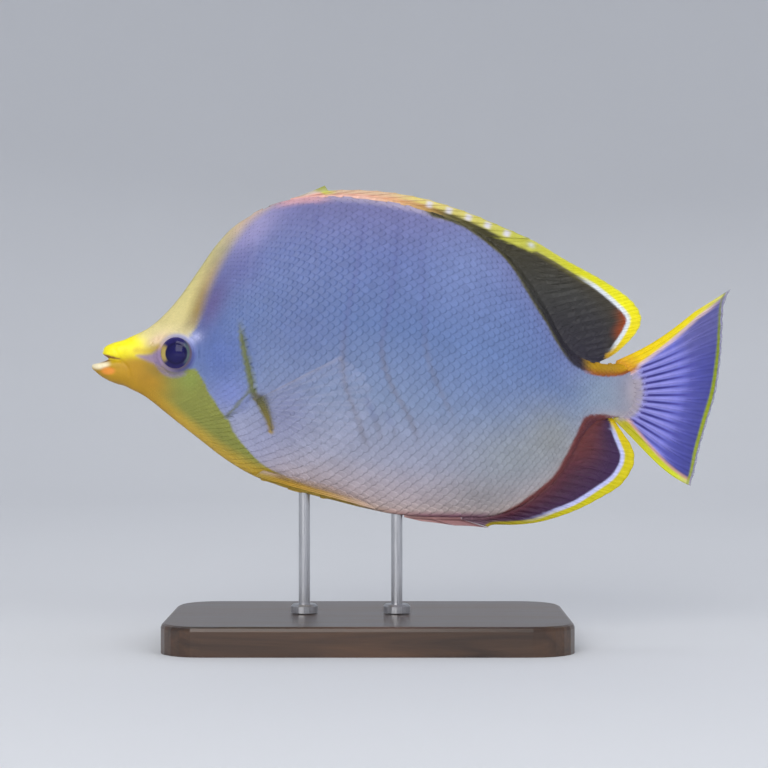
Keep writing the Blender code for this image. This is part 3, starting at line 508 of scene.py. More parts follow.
def root_marks(places, colour):
    """The gold edge of the belly, the dark fin roots and the stalk's gold band."""
    x, h = places.T
    edge = blend(x, BELLY_EDGE_STOPS)
    height = (h - belly_h(x)) + 0.5 * ease(-20, 0, x)
    colour = paint(colour, edge, ease(2.6, 0.7, height) * ease(-42, -30, x) * ease(26, 18, x))
    under_back = back_h(x) - h
    pink = ease(3, 0.6, under_back) * ease(-40, -34, x) * ease(-20, -28, x)
    pale = ease(2.4, 0.3, under_back) * ease(-28, -18, x) * ease(12, 4, x)
    colour = paint_all(colour, [(tone(222, 168, 168), 0.8 * pink), (tone(178, 168, 192), 0.75 * pale)])
    dark = depth_in_curve(DORSAL_DARK, places)
    shade = paint(blend(h, DORSAL_TONES), tone(92, 88, 56), ease(1, 0.1, dark) * ease(46, 52, h))
    colour = paint(colour, shade, ease(-0.35, 0.45, dark))
    dark = depth_in_curve(ANAL_DARK, places)
    shade = blend(dark, [(0, 114, 54, 50), (1.4, 94, 45, 50), (3.4, 82, 39, 54)])
    colour = paint(colour, shade, ease(-0.4, 0.5, dark) * ease(14, 24, x))
    gold = depth_in_curve(STALK_GOLD, places)
    shade = blend(gold, [(0, 138, 64, 16), (0.9, 146, 88, 8), (2.2, 166, 126, 4)])
    shade = paint(shade, tone(226, 176, 8), 0.8 * ease(56, 63, x) * ease(0.6, 1.6, gold))
    return paint(colour, shade, ease(-0.3, 0.4, gold) * ease(47, 51.5, x))


def markings(places):
    """The fish's colour at any place of its flank, for skin and scales alike."""
    x, h = places.T
    face = depth_in_curve(FACE_OUTLINE, places)
    soft = 0.35 + 1.5 * ease(51, 64, h)
    colour = flank_colour(places)
    face_mask = ease(-soft, soft, face) * ease(-32, -41, x - 22.0 * ease(30, 20, h))
    colour = paint(colour, face_colour(places, face), face_mask)
    return root_marks(places, head_marks(places, colour))


print("snout tone:", np.round(markings(np.array([(-82, 50.5)]))[0], 2))

# %% [markdown]
# ## The skin
# All the flesh is one skin. It starts as a closed loft of the flank's sections, joined by the two
# jaws with their lips, while the eyes' sockets are cut out. A voxel remesh then melts these closed
# forms into one even surface, and a little smoothing takes away the steps. Wherever scales will
# cover it, the skin lies a quarter of a millimetre inside the solids.

# %% Loft of the body
RING_TURNS = 72
COAT_DEPTH = 0.26
VOXEL = 0.56


def ring_quads(count, size):
    """Quads between neighbouring rings of points."""
    return [(i * size + k, i * size + (k + 1) % size, (i + 1) * size + (k + 1) % size, (i + 1) * size + k)
            for i in range(count - 1) for k in range(size)]


def full_turn(count):
    """Evenly spaced angles of a full turn."""
    return math.tau * np.arange(count) / count


def new_mesh(name, points, faces):
    mesh = bpy.data.meshes.new(name)
    mesh.from_pydata(points, [], faces)
    return mesh


def closed_loft(name, rings):
    """A closed mesh over rings of points, in millimetres, capped at both ends."""
    count, size = len(rings), len(rings[0])
    caps = [tuple(reversed(range(size))), tuple(range((count - 1) * size, count * size))]
    faces = ring_quads(count, size) + caps
    return new_object(name, new_mesh(name, np.concatenate(rings).tolist(), faces))


def body_rings():
    """The flank's sections from the snout to the tail, closer together where the outline turns."""
    rear = FLESH_REAR_X - 0.02
    end = rear - (rear - 60.0) * np.linspace(1, 0, 12) ** 2
    stations = np.concatenate([
        np.arange(-80.3, -40, 0.8), np.arange(-40, 40, 1.6), np.arange(40, 60, 0.8), end])
    turns = np.radians(np.linspace(-90, 90, RING_TURNS + 1))
    rings = []
    for x in stations:
        y, h = section(np.full_like(turns, x), turns)
        right = points_of(np.full_like(turns, x), y, h)
        rings.append(np.concatenate([right, (right * (1, -1, 1))[::-1]]))
    return rings


rings = body_rings()
skin = closed_loft("skin", rings)
print("sections:", len(rings), "points round each:", 2 * (RING_TURNS + 1))

# %% [markdown]
# The jaws are short lofts, round outside and flat where they face each other, so that the mouth
# stays open to its corner as in the photo. Each lip is a tube that swells from the corner of the
# mouth to the front.

# %% Jaws and lips
UPPER_JAW = [
    (-78.8, 53.2, 46.8, 3.2), (-80.55, 53, 47, 3), (-82.4, 52.6, 47.2, 2.9), (-84.2, 52, 47.6, 2.5),
    (-85.6, 51.4, 48.1, 1.9), (-86.4, 50.8, 48.6, 1.1), (-86.7, 50.2, 49, 0.5)]
LOWER_JAW = [
    (-78.8, 47.6, 39.4, 3.3), (-80.55, 47.6, 39.9, 3.2), (-82.4, 47.6, 40.3, 3), (-84.7, 47.3, 41.2, 2.6),
    (-86.8, 46.8, 42.3, 2.1), (-88.4, 46.1, 43.5, 1.3), (-88.75, 45.5, 44.1, 0.6)]
UPPER_LIP = ((-81.6, 2.7, 48), (-86.1, 0, 49.3), (0.25, 0.85))
LOWER_LIP = ((-81.6, 2.9, 46.2), (-88.9, 0, 45.3), (0.25, 1.05))
MOUTH_FLATNESS = 0.6


def jaw_loft(name, stations, mouth_side):
    """A jaw from (x, top, bottom, half width) stations; mouth_side is 1 where the mouth is above it."""
    turns = math.tau * (np.arange(28) + 0.5) / 28
    across, up = np.cos(turns), np.sin(turns)
    power = np.where(up * mouth_side > 0, MOUTH_FLATNESS, 1.0)
    rings = []
    for x, top, bottom, width in stations:
        y = width * np.sign(across) * np.abs(across) ** power
        h = (top + bottom) / 2 + (top - bottom) / 2 * np.sign(up) * np.abs(up) ** power
        rings.append(points_of(np.full_like(y, x), y, h)[::-1])
    return closed_loft(name, rings)


def lip_tube(name, corner, front, radii):
    """A roll round the jaw's rim, thin at the corners of the mouth and full in front."""
    bends = np.radians(np.linspace(-90, 90, 25))
    sides = full_turn(12)
    rings = []
    for bend in bends:
        forward = math.cos(bend)
        middle = np.array((
            corner[0] + (front[0] - corner[0]) * forward, corner[1] * math.sin(bend),
            corner[2] + (front[2] - corner[2]) * forward))
        outward = np.array((-forward, math.sin(bend), 0.0))
        outward = outward / np.linalg.norm(outward)
        radius = radii[0] + (radii[1] - radii[0]) * forward
        rings.append(middle + radius * (
            np.cos(sides)[:, None] * outward + np.sin(sides)[:, None] * (0, 0, 1)))
    return closed_loft(name, rings)


mouth_parts = [
    jaw_loft("upper_jaw_form", UPPER_JAW, -1), jaw_loft("lower_jaw_form", LOWER_JAW, 1),
    lip_tube("upper_lip_form", *UPPER_LIP), lip_tube("lower_lip_form", *LOWER_LIP)]
print("mouth parts:", [part.name for part in mouth_parts])

# %% [markdown]
# An eye sits in a socket. Its form is a ball flattened from side to side that leans with the cheek,
# and the socket is the same form a little larger, cut from the loft before the remesh.

# %% Eye sockets
EYE_Y = 5.1
EYE_HALF_DEPTH = 2.4
EYE_SLOPE = 0.2
SOCKET_ROOM = 0.12


def eye_point(side, tilt, turn, reach):
    """A point round the eye: tilt runs from its outer pole, turn goes round it."""
    forward = (EYE_RADIUS + reach) * np.sin(tilt) * np.cos(turn)
    outward = (EYE_HALF_DEPTH + reach) * np.cos(tilt) + EYE_SLOPE * forward
    up = (EYE_RADIUS + reach) * np.sin(tilt) * np.sin(turn)
    return points_of(EYE_X + forward, side * (EYE_Y + outward), EYE_H + up)


def cut_sockets(target):
    """Takes the two sockets out of the loft with one Boolean."""
    group = bpy.data.collections.new("sockets")
    bpy.context.scene.collection.children.link(group)
    turns = full_turn(40)
    for side in (-1, 1):
        rings = [eye_point(side, np.full(40, tilt), -side * turns, SOCKET_ROOM)
                 for tilt in np.radians(np.linspace(2, 178, 22))]
        cutter = closed_loft("socket", rings)
        bpy.context.scene.collection.objects.unlink(cutter)
        group.objects.link(cutter)
    step = target.modifiers.new("sockets", "BOOLEAN")
    step.operation = "DIFFERENCE"
    step.operand_type = "COLLECTION"
    step.collection = group
    settle(target)
    for cutter in list(group.objects):
        bpy.data.objects.remove(cutter, do_unlink=True)
    bpy.data.collections.remove(group)


def settle(target):
    """Applies an object's modifiers to its mesh."""
    bpy.context.view_layer.update()
    graph = bpy.context.evaluated_depsgraph_get()
    mesh = bpy.data.meshes.new_from_object(target.evaluated_get(graph))
    target.modifiers.clear()
    target.data = mesh


cut_sockets(skin)
print("skin after its sockets:", len(skin.data.polygons), "faces")

# %% [markdown]
# Joined in one mesh, the overlapping closed forms are remeshed together. The voxel size decides how
# fine a fold can be, so the snout is divided once more afterwards.

# %% Melt the forms into one surface
SNOUT_REAR_X = -74.0


def join(target, others):
    """Adds the other objects' meshes to the target's, as they lie."""
    points, faces, start = [], [], 0
    for item in [target, *others]:
        points += [tuple(v.co) for v in item.data.vertices]
        faces += [tuple(start + i for i in polygon.vertices) for polygon in item.data.polygons]
        start = len(points)
    target.data = new_mesh(target.name, points, faces)
    for item in others:
        bpy.data.objects.remove(item, do_unlink=True)


def read_all(items, key, width=3, kind=float):
    """One value of all points, edges, faces or corners of a mesh, as an array."""
    flat = np.zeros(len(items) * width, kind)
    items.foreach_get(key, flat)
    return flat.reshape(-1, width)


def read_points(mesh):
    return read_all(mesh.vertices, "co")


def write_points(mesh, points):
    mesh.vertices.foreach_set("co", np.asarray(points, float).ravel())
    mesh.update()


def relax(mesh, rounds, weight=None):
    """Moves each point half way towards the middle of its neighbours, or less where weight says so."""
    a, b = read_all(mesh.edges, "vertices", 2, np.int64).T
    count = len(mesh.vertices)
    links = np.bincount(a, minlength=count) + np.bincount(b, minlength=count)
    points = read_points(mesh)
    share = 0.5 if weight is None else 0.5 * weight[:, None]
    for _ in range(rounds):
        total = points_of(*[
            np.bincount(a, points[b, k], count) + np.bincount(b, points[a, k], count) for k in range(3)])
        points = points + (total / np.maximum(links, 1)[:, None] - points) * share
    write_points(mesh, points)


join(skin, mouth_parts)
remesh = skin.modifiers.new("melt", "REMESH")
remesh.mode = "VOXEL"
remesh.voxel_size = VOXEL
settle(skin)
points = read_points(skin.data)
relax(skin.data, 6, ease(-72, -76, points[:, 0]) * ease(-84, -80.5, points[:, 0]))
relax(skin.data, 2)
print("remeshed skin:", len(skin.data.polygons), "faces")

# %% [markdown]
# ### Relief of the skin
# Folds and edges are small moves of the skin's points along their normals: the gill cover's raised
# rear edge with the slit behind it, the bent groove across the cheek, the rim of skin round the
# eye, two nostrils on each side, the crease at the corner of the mouth, and the pad of flesh that
# the pectoral fin grows from. The same function lifts the scales, so they follow each fold.

# %% Folds of the head
GILL_COVER = [
    (-48.4, 58.8), (-46.2, 52.4), (-44.7, 46), (-43.5, 38.9), (-46, 35.4), (-50.2, 32), (-56, 31),
    (-58.3, 34.8), (-57.6, 41.9), (-56, 50), (-53.2, 57.2)]
CHEEK_GROOVE = [(-55.8, 57.5), (-57.6, 49.5), (-57.4, 41.5), (-60.8, 36), (-66.5, 33.6)]
MOUTH_SLIT = [(-86.4, 48), (-84.4, 47.5), (-82.6, 47.3), (-81.7, 47.2)]
MOUTH_CREASE = [(-81.9, 47.2), (-80.3, 46.3), (-79, 44.6), (-78.7, 42.8)]
LIP_FURROW = [(-84.3, 52.4), (-83.1, 50.4), (-81.9, 48.4), (-81.2, 47.3)]
NOSTRILS = [(-72.3, 51.6), (-70.9, 53.2)]
FIN_PAD = (-41.4, 33)
SOCKET_EDGE = EYE_RADIUS + SOCKET_ROOM


def bump(distance, width):
    return np.exp(-(distance / width) ** 2)


def relief(places):
    """How far the skin stands out at each place, in millimetres."""
    x, h = places.T
    cover = depth_in_curve(GILL_COVER, places, 4)
    rearness = ease(-57, -48, x) * ease(59, 52, h)
    lift = ease(-0.1, 0.25, cover) * (0.08 + 0.5 * rearness * ease(7, 0.5, cover))
    lift = lift - 0.2 * bump(cover + 0.45, 0.4) * rearness
    groove, _ = nearest(curve(CHEEK_GROOVE), places, 3)
    lift = lift - 0.17 * bump(groove, 0.34) + 0.10 * bump(groove, 1.3)
    round_eye = np.hypot(x - EYE_X, h - EYE_H)
    from_rim = round_eye - SOCKET_EDGE
    lift = lift + 0.34 * bump(from_rim - 0.5, 0.42) - 0.13 * bump(from_rim - 1.6, 0.36)
    for nostril in NOSTRILS:
        away = np.hypot(x - nostril[0], h - nostril[1])
        lift = lift + 0.2 * bump(away - 0.72, 0.22) - 0.6 * bump(away, 0.4)
    for line, depth in ((MOUTH_SLIT, 0.3), (MOUTH_CREASE, 0.2), (LIP_FURROW, 0.1)):
        groove, _ = nearest(curve(line), places, 2)
        lift = lift - depth * bump(groove, 0.36)
    return lift + 0.45 * spot(places, FIN_PAD, (2.4, 5.2), 20.0)


def normals_of(mesh):
    return read_all(mesh.vertices, "normal")


def divide_faces(mesh, chosen):
    """Divides the chosen faces once, where a form needs finer points."""
    shape = bmesh.new()
    shape.from_mesh(mesh)
    shape.faces.ensure_lookup_table()
    edges = {edge for i in np.nonzero(chosen)[0] for edge in shape.faces[int(i)].edges}
    bmesh.ops.subdivide_edges(shape, edges=list(edges), cuts=1, use_grid_fill=True)
    shape.to_mesh(mesh)
    shape.free()


centres = read_all(skin.data.polygons, "center")
near_eye = np.abs(np.hypot(centres[:, 0] - EYE_X, centres[:, 2] - EYE_H) - SOCKET_EDGE) < 1.6
divide_faces(skin.data, (centres[:, 0] < SNOUT_REAR_X) | near_eye)
points = read_points(skin.data)
relax(skin.data, 2, np.where(points[:, 0] < SNOUT_REAR_X + 1.0, 1.0, 0.0))
print("skin with a finer snout:", len(skin.data.vertices), "points")

# %% Raise the folds and sink the skin under the coat
points = read_points(skin.data)
normals = normals_of(skin.data)
flank = points[:, [0, 2]]
in_socket = np.hypot(points[:, 0] - EYE_X, points[:, 2] - EYE_H) < SOCKET_EDGE - 0.1
lift = np.where(in_socket, 0.0, relief(flank)) * ease(0.1, 0.45, np.abs(normals[:, 1]))
sunk = COAT_DEPTH * ease(-79, -73, points[:, 0])
write_points(skin.data, points + normals * (lift - sunk)[:, None])
print("folds from", round(float(lift.min()), 2), "to", round(float(lift.max()), 2), "mm")

# %% [markdown]
# The skin takes its colours at each point. Inside the mouth it is a dull ochre, and the bottom of
# the eyes' sockets is painted dark, as shade.

# %% Colour the skin
MARKS = "marks"
MOUTH_OCHRE = tone(146, 104, 56)


def store_colours(mesh, colours):
    """Keeps an opaque colour at each point."""
    colours = np.hstack([colours, np.ones((len(colours), 1))])
    layer = mesh.color_attributes.new(MARKS, "FLOAT_COLOR", "POINT")
    layer.data.foreach_set("color", colours.astype(np.float32).ravel())


def place_in_world(target):
    """Turns a mesh in fish millimetres into metres, at the fish's height over the base."""
    write_points(target.data, (read_points(target.data) + (0.0, 0.0, FISH_LIFT)) * MM)


points = read_points(skin.data)
normals = normals_of(skin.data)
colours = markings(points[:, [0, 2]])
x, y, h = points.T
roof = ease(-0.2, -0.7, normals[:, 2]) * ease(50.2, 49, h) * ease(46.9, 47.4, h)
floor_of_mouth = ease(0.35, 0.8, normals[:, 2]) * ease(47.6, 47, h) * ease(44.6, 45.6, h)
inner = ease(-88, -85.4, x) * (1 - ease(1.4, 2.4, np.abs(y)))
inside_mouth = ease(-80.6, -81.6, x) * np.maximum(roof, floor_of_mouth * inner)
colours = paint(colours, MOUTH_OCHRE, inside_mouth)
from_eye = np.hypot(x - EYE_X, h - EYE_H)
# Painted shade: the skin darkens towards the bottom of each eye's socket.
colours = paint(colours, tone(84, 72, 92), ease(SOCKET_EDGE - 0.05, SOCKET_EDGE - 0.5, from_eye))
store_colours(skin.data, colours)
place_in_world(skin)
skin.data.shade_smooth()
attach(skin, "root")
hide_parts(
    "head", "trunk", "tail_stalk", "upper_jaw", "lower_jaw", "gill_cover_left", "gill_cover_right")
print("skin replaces seven nodes of flesh")

# %% [markdown]
# ## The coat of scales
# Scales sit in staggered columns, each rooted under the ones before it and free at its rear edge.
# To lay them on a curved flank, the flank gets its own two coordinates: x, and s, the distance up
# or down its section from the widest line. Every point of every scale is placed through them, so
# the scales bend with the body and never float.

# %% The flank's own coordinates
TABLE_STEP = 0.5
TABLE_TURNS = np.radians(np.linspace(-90, 90, 181))
TABLE_SHARES = np.linspace(-1, 1, 121)


def section_table():
    """For each station, the flank's length up and down, and the turn at each share of it."""
    stations = np.arange(-81.0, FLESH_REAR_X, TABLE_STEP)
    above, below, turns = [], [], []
    for x in stations:
        y, h = section(np.full_like(TABLE_TURNS, x), TABLE_TURNS)
        arc = np.concatenate([[0.0], np.cumsum(np.hypot(np.diff(y), np.diff(h)))])
        arc = arc - arc[len(arc) // 2]
        above.append(arc[-1])
        below.append(-arc[0])
        share = np.where(arc > 0, arc / arc[-1], arc / -arc[0])
        turns.append(np.interp(TABLE_SHARES, share, TABLE_TURNS))
    return stations, np.array(above), np.array(below), np.array(turns)


STATIONS, ABOVE, BELOW, TURN_TABLE = section_table()


def flank_length(x, is_above):
    """The section's length from the widest line to the back or to the belly."""
    return np.where(is_above, np.interp(x, STATIONS, ABOVE), np.interp(x, STATIONS, BELOW))


def flank_turn(x, s):
    """The turn that lies at distance s along the section at x."""
    length = flank_length(x, s >= 0)
    column = (np.clip(s / length, -1, 1) + 1) / 2 * (len(TABLE_SHARES) - 1)
    row = (np.clip(x, STATIONS[0], STATIONS[-1]) - STATIONS[0]) / TABLE_STEP
    i = np.clip(np.floor(row).astype(int), 0, len(STATIONS) - 2)
    k = np.clip(np.floor(column).astype(int), 0, len(TABLE_SHARES) - 2)
    u, v = row - i, column - k
    near = TURN_TABLE[i, k] * (1 - v) + TURN_TABLE[i, k + 1] * v
    far = TURN_TABLE[i + 1, k] * (1 - v) + TURN_TABLE[i + 1, k + 1] * v
    return near * (1 - u) + far * u


def flank_points(x, s):
    """Points of the right flank's surface, before any fold."""
    y, h = section(x, flank_turn(x, s))
    return points_of(x, y, h)


def flank_normals(x, s):
    """Which way the right flank faces at each point."""
    step = 0.15
    along = flank_points(x + step, s) - flank_points(x - step, s)
    across = flank_points(x, s + step) - flank_points(x, s - step)
    out = np.cross(across, along)
    return out / np.maximum(np.linalg.norm(out, axis=-1, keepdims=True), 1e-9)


print("flank from the widest line to the back:", round(float(flank_length(0.0, True)), 1), "mm")

# %% [markdown]
# A scale is a small closed plate with a round free edge. Its points are given as a, from root to
# free edge, b, from side to side, and w, its height over the skin: it rises towards its free edge,
# is a little higher along its middle, and has a thickness.

# %% One scale
def scale_form(along, sides, thickness):
    """Points (a, b, w) of one scale's upper and lower face, and its faces."""
    upper = []
    for i in range(along + 1):
        for k in range(sides + 1):
            b = 2 * k / sides - 1
            rear = 1 - 0.30 * b ** 2 - 0.22 * b ** 4
            a = rear * (i / along) ** 0.85
            narrow = 0.74 + 0.26 * ease(0, 0.35, a)
            upper.append((a, b * narrow, a + 0.16 * (1 - b * b) * min(a * 3, 1.0)))
    upper = np.array(upper)
    row = sides + 1
    faces = [(i * row + k, (i + 1) * row + k, (i + 1) * row + k + 1, i * row + k + 1)
             for i in range(along) for k in range(sides)]
    rim = list(range(sides + 1)) + [i * row + sides for i in range(1, along + 1)]
    rim += [along * row + k for k in range(sides - 1, -1, -1)] + [i * row for i in range(along - 1, 0, -1)]
    lower = upper[rim] - (0.0, 0.0, thickness)
    start = len(upper)
    count = len(rim)
    for k in range(count):
        n = (k + 1) % count
        faces.append((rim[k], rim[n], start + n, start + k))
    faces.append(tuple(start + k for k in reversed(range(count))))
    return np.vstack([upper, lower]), faces, along * sides


body_scale = scale_form(5, 6, 0.34)
small_scale = scale_form(4, 4, 0.34)
print("points in a body scale and in a small one:", len(body_scale[0]), len(small_scale[0]))

# %% [markdown]
# The body's scales are about 3 mm across in the middle of the flank and smaller towards the tail,
# the back and the belly. The columns bend like the arrow lines. The head has its own, much smaller
# scales in front of the gill cover's rear edge, and the lips and the snout's tip have none.

# %% Where the scales grow
BODY_PITCH = profile([
    (-62, 1.5), (-50, 1.9), (-40, 2.3), (-28, 2.75), (-5, 2.95), (15, 2.8), (32, 2.3), (45, 1.75),
    (55, 1.3), (64.4, 0.95)])
HEAD_PITCH = profile([(-80, 0.85), (-74, 0.95), (-66, 1.15), (-58, 1.4), (-50, 1.75), (-42, 2.1)])
COLUMN_SHARE = 0.55
EDGE_CROWDING = 0.009
HEAD_ZONE = [
    (-41, 98), (-42.6, 94), (-46, 76.8), (-48.2, 64.7), (-47.9, 59), (-46.3, 52.4), (-44.8, 46),
    (-43.7, 39.4), (-46.2, 35.6), (-49.6, 32.3), (-52.2, 27), (-54.4, 20), (-55, 10), (-100, 10),
    (-100, 98)]
BARE_SNOUT_X = -76.6
BARE_EYE_RADIUS = 5.9


def column_bend(s):
    """How far a column's place at distance s lies behind its foremost point."""
    return np.where(s > 0, 0.05 * s, 0.25 * np.abs(np.minimum(s + 2.0, 0.0)))


def lattice(pitch, first_x, last_x, seed, bend=1.0):
    """Roots of scales as x and s, with the local pitch along and across, the row's slope and lean."""
    draw = np.random.default_rng(seed)
    found = []
    start, column = first_x, 0
    while start < last_x:
        rows = np.arange(-45, 46) + (0.5 if column % 2 else 0.0)
        spread = rows * (1 - EDGE_CROWDING * np.abs(rows))
        s = float(pitch(start)) * spread
        x = start + bend * column_bend(s)
        s = pitch(x) * spread
        crowd = 1 - 2 * EDGE_CROWDING * np.abs(rows)
        slope = (pitch(x + 0.5) - pitch(x - 0.5)) * spread
        lean = bend * (0.20 * ease(0, -7, s) - 0.03 * ease(0, 6, s))
        found.append(points_of(x, s, pitch(x), pitch(x) * crowd, slope, lean))
        start += COLUMN_SHARE * float(pitch(start))
        column += 1
    found = np.vstack(found)
    reach = flank_length(found[:, 0], found[:, 1] > 0)
    inside = (np.abs(found[:, 1]) < reach * 0.985) & (found[:, 0] < FLESH_REAR_X - 0.2)
    found = found[inside & (found[:, 0] > -79.0) & (found[:, 3] > 0)]
    found[:, :2] += draw.normal(0, 0.02, (len(found), 2)) * found[:, 2:3]
    return found


def flank_of(roots):
    y, h = section(roots[:, 0], flank_turn(roots[:, 0], roots[:, 1]))
    return points_of(roots[:, 0], h)


body_roots = lattice(BODY_PITCH, -62.0, 66.0, 3)
head_roots = lattice(HEAD_PITCH, -80.0, -38.0, 4, 0.35)
in_head = depth_inside(np.array(HEAD_ZONE), flank_of(body_roots))
body_roots = body_roots[in_head < 0.15]
places = flank_of(head_roots)
from_eye = np.hypot(places[:, 0] - EYE_X, places[:, 1] - EYE_H)
in_head = depth_inside(np.array(HEAD_ZONE), places)
keep = (in_head > 0.35) & (from_eye > BARE_EYE_RADIUS) & (places[:, 0] > BARE_SNOUT_X)
for nostril in NOSTRILS:
    keep &= np.hypot(places[:, 0] - nostril[0], places[:, 1] - nostril[1]) > 1.1
head_roots = head_roots[keep]
print("scales on one flank:", len(body_roots), "on the body and", len(head_roots), "on the head")

# %% [markdown]
# All the scales' points run through the flank's coordinates at once, as one large array. A scale
# takes part of its colour from its middle, so a marking's edge breaks up a little from scale to
# scale, and each one is a trace lighter or darker than its neighbours.

# %% Lay the scales
SCALE_LENGTH = 1.48
SCALE_WIDTH = 1.14
SCALE_LIFT = 0.021
ROOT_SUNK = 0.026
TONE_SPREAD = 0.026


def scale_points(roots, form, seed):
    """All points of the scales on the right flank, with their coordinates in the scale."""
    draw = np.random.default_rng(seed)
    count = len(roots)
    a, b, w = form[0].T
    size = 1 + draw.normal(0, 0.03, (count, 1))
    lean = roots[:, 5:6] + draw.normal(0, 0.04, (count, 1))
    length = roots[:, 2:3] * SCALE_LENGTH * size
    width = roots[:, 3:4] * SCALE_WIDTH * size / 2
    along = a * length - b * width * lean
    across = b * width + a * length * (lean + roots[:, 4:5])
    x = np.minimum(roots[:, 0:1] + along, FLESH_REAR_X + 1.0)
    s = roots[:, 1:2] + across
    ground = flank_points(x.ravel(), s.ravel())
    out = flank_normals(x.ravel(), s.ravel())
    fold = relief(ground[:, [0, 2]])
    height = (w * SCALE_LIFT * roots[:, 2:3] - ROOT_SUNK).ravel()
    placed = ground + out * (fold + height - COAT_DEPTH)[:, None]
    return placed, np.tile(form[0], (count, 1)), draw


def many_faces(mesh, faces, copies, size):
    """Gives a mesh the same faces again for each copy, without a slow loop."""
    loops = np.concatenate([np.array(face) for face in faces])
    totals = np.array([len(face) for face in faces])
    every = (loops[None, :] + size * np.arange(copies)[:, None]).ravel()
    mesh.loops.add(len(every))
    mesh.loops.foreach_set("vertex_index", every.astype(np.int32))
    mesh.polygons.add(copies * len(faces))
    starts = np.concatenate([[0], np.cumsum(np.tile(totals, copies))[:-1]])
    mesh.polygons.foreach_set("loop_start", starts.astype(np.int32))


def face_outwards(mesh):
    """Turns a closed mesh's faces over if they look inwards."""
    mesh.calc_loop_triangles()
    corners = read_all(mesh.loop_triangles, "vertices", 3, np.int32)
    a, b, c = np.moveaxis(read_points(mesh)[corners], 1, 0)
    if np.einsum("ij,ij->", a, np.cross(b, c)) < 0:
        mesh.flip_normals()


def face_corners(mesh):
    """The point at each corner of each face."""
    return read_all(mesh.loops, "vertex_index", 1, np.int32).ravel()


def store_map(mesh, map_places):
    """The map for baking, with a place for each corner of each face."""
    mesh.uv_layers.new(name="OFBake").data.foreach_set("uv", map_places.astype(np.float32).ravel())


def store_places(mesh, name, values):
    """Three values at each point, which a material reads by name."""
    layer = mesh.attributes.new(name, "FLOAT_VECTOR", "POINT")
    layer.data.foreach_set("vector", values.astype(np.float32).ravel())


def coat_piece(name, placed, inner, colours, form, map_places):
    """One mesh of many scales, with its colours, its inner coordinates and its map for baking."""
    size = len(form[0])
    copies = len(placed) // size
    mesh = bpy.data.meshes.new(name)
    mesh.vertices.add(len(placed))
    write_points(mesh, placed)
    many_faces(mesh, form[1], copies, size)
    mesh.update(calc_edges=True)
    mesh.validate()
    smooth = np.tile(np.arange(len(form[1])) < form[2], copies)
    mesh.polygons.foreach_set("use_smooth", smooth)
    store_colours(mesh, colours)
    store_places(mesh, "scale_place", inner)
    store_map(mesh, map_places[face_corners(mesh)])
    face_outwards(mesh)
    made = new_object(name, mesh)
    place_in_world(made)
    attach(made, "root")
    return made


PATCH = 0.003
MAP_LENGTH = 190.0
MAP_HEIGHT = 124.0


def dress_flank(label, side, roots, form, seed, evenness=0.22):
    """The scales of one flank; evenness is how much of each colour comes from a scale's middle."""
    placed, inner, draw = scale_points(roots, form, seed)
    size = len(form[0])
    root = flank_of(roots)
    here = placed[:, [0, 2]]
    middle = np.repeat(root + roots[:, 2:3] * (0.75, 0), size, axis=0)
    colours = markings(here * (1 - evenness) + middle * evenness)
    shade = np.repeat(1 + draw.normal(0, TONE_SPREAD, (len(roots), 1)), size, axis=0)
    edge = 0.97 + 0.06 * inner[:, 0:1] - 0.02 * inner[:, 1:2] ** 2
    colours = np.clip(colours * shade * edge, 0, 1)
    at_root = points_of(0.02 + (roots[:, 0] + 92.0) / MAP_LENGTH, 0.5 + roots[:, 1] / MAP_HEIGHT)
    map_places = np.repeat(at_root, size, axis=0) + (inner[:, :2] - (0.5, 0)) * (PATCH, PATCH / 2)
    inner = np.column_stack([inner[:, :2], np.repeat(draw.random(len(roots)), size)])
    return coat_piece(f"scales_{label}", placed * (1, side, 1), inner, colours, form, map_places)


coat = []
for label, side in SIDES:
    front = body_roots[:, 0] < -8.0
    coat.append(dress_flank(f"body_front_{label}", side, body_roots[front], body_scale, 11))
    coat.append(dress_flank(f"body_rear_{label}", side, body_roots[~front], body_scale, 12))
    coat.append(dress_flank(f"head_{label}", side, head_roots, small_scale, 13, 0.25))
print({piece.name: sum(len(p.vertices) - 2 for p in piece.data.polygons) for piece in coat})

# %% [markdown]
# ## Fins
# A fin is a thin skin held out by rays. Here it is one grid of fine columns from root to margin. The
# share along the fin is c and the share from root to margin is r. The grid is thick along each ray
# and thin between, and a soft ray forks twice on its way out. The root sinks into the back or the
# belly, and a fleshy base thickens it there.

# %% Rays and their ridges
GAP = 0.3
ROOT_DEPTH = 1.7
SHEATH_HALF = 0.8


def edge_line(height, first_x, last_x, offset=GAP):
    """The body's upper or lower edge between two places, moved outwards by offset."""
    x = np.linspace(first_x, last_x, 41)
    slope = (height(x + 0.1) - height(x - 0.1)) / 0.2
    away = points_of(-slope, np.ones_like(x))
    away = away / np.linalg.norm(away, axis=1, keepdims=True) * (offset if height is back_h else -offset)
    return points_of(x, height(x)) + away


def foot_lines(height, first_x, last_x):
    """A fin's visible foot and its hidden root inside the flesh."""
    return edge_line(height, first_x, last_x), edge_line(height, first_x, last_x, -ROOT_DEPTH)


def from_ray(c, count):
    """How far each place lies from the nearest ray, as a share of the space between two."""
    u = c * (count - 1)
    return np.abs(u - np.round(u))


def soft_rays(c, r, count):
    """1 on the crest of each soft ray and 0 between them, with two forks."""
    off = from_ray(c, count)
    off = np.abs(off - 0.20 * ease(0.34, 0.95, r))
    off = np.abs(off - 0.09 * ease(0.62, 1.1, r))
    return np.exp(-(off / (0.17 - 0.105 * ease(0, 0.9, r))) ** 2)


def stiff_spines(c, r, count):
    """1 on the crest of each spine, which is round and doesn't fork."""
    off = from_ray(c, count)
    return np.exp(-(off / (0.15 - 0.06 * r)) ** 2)


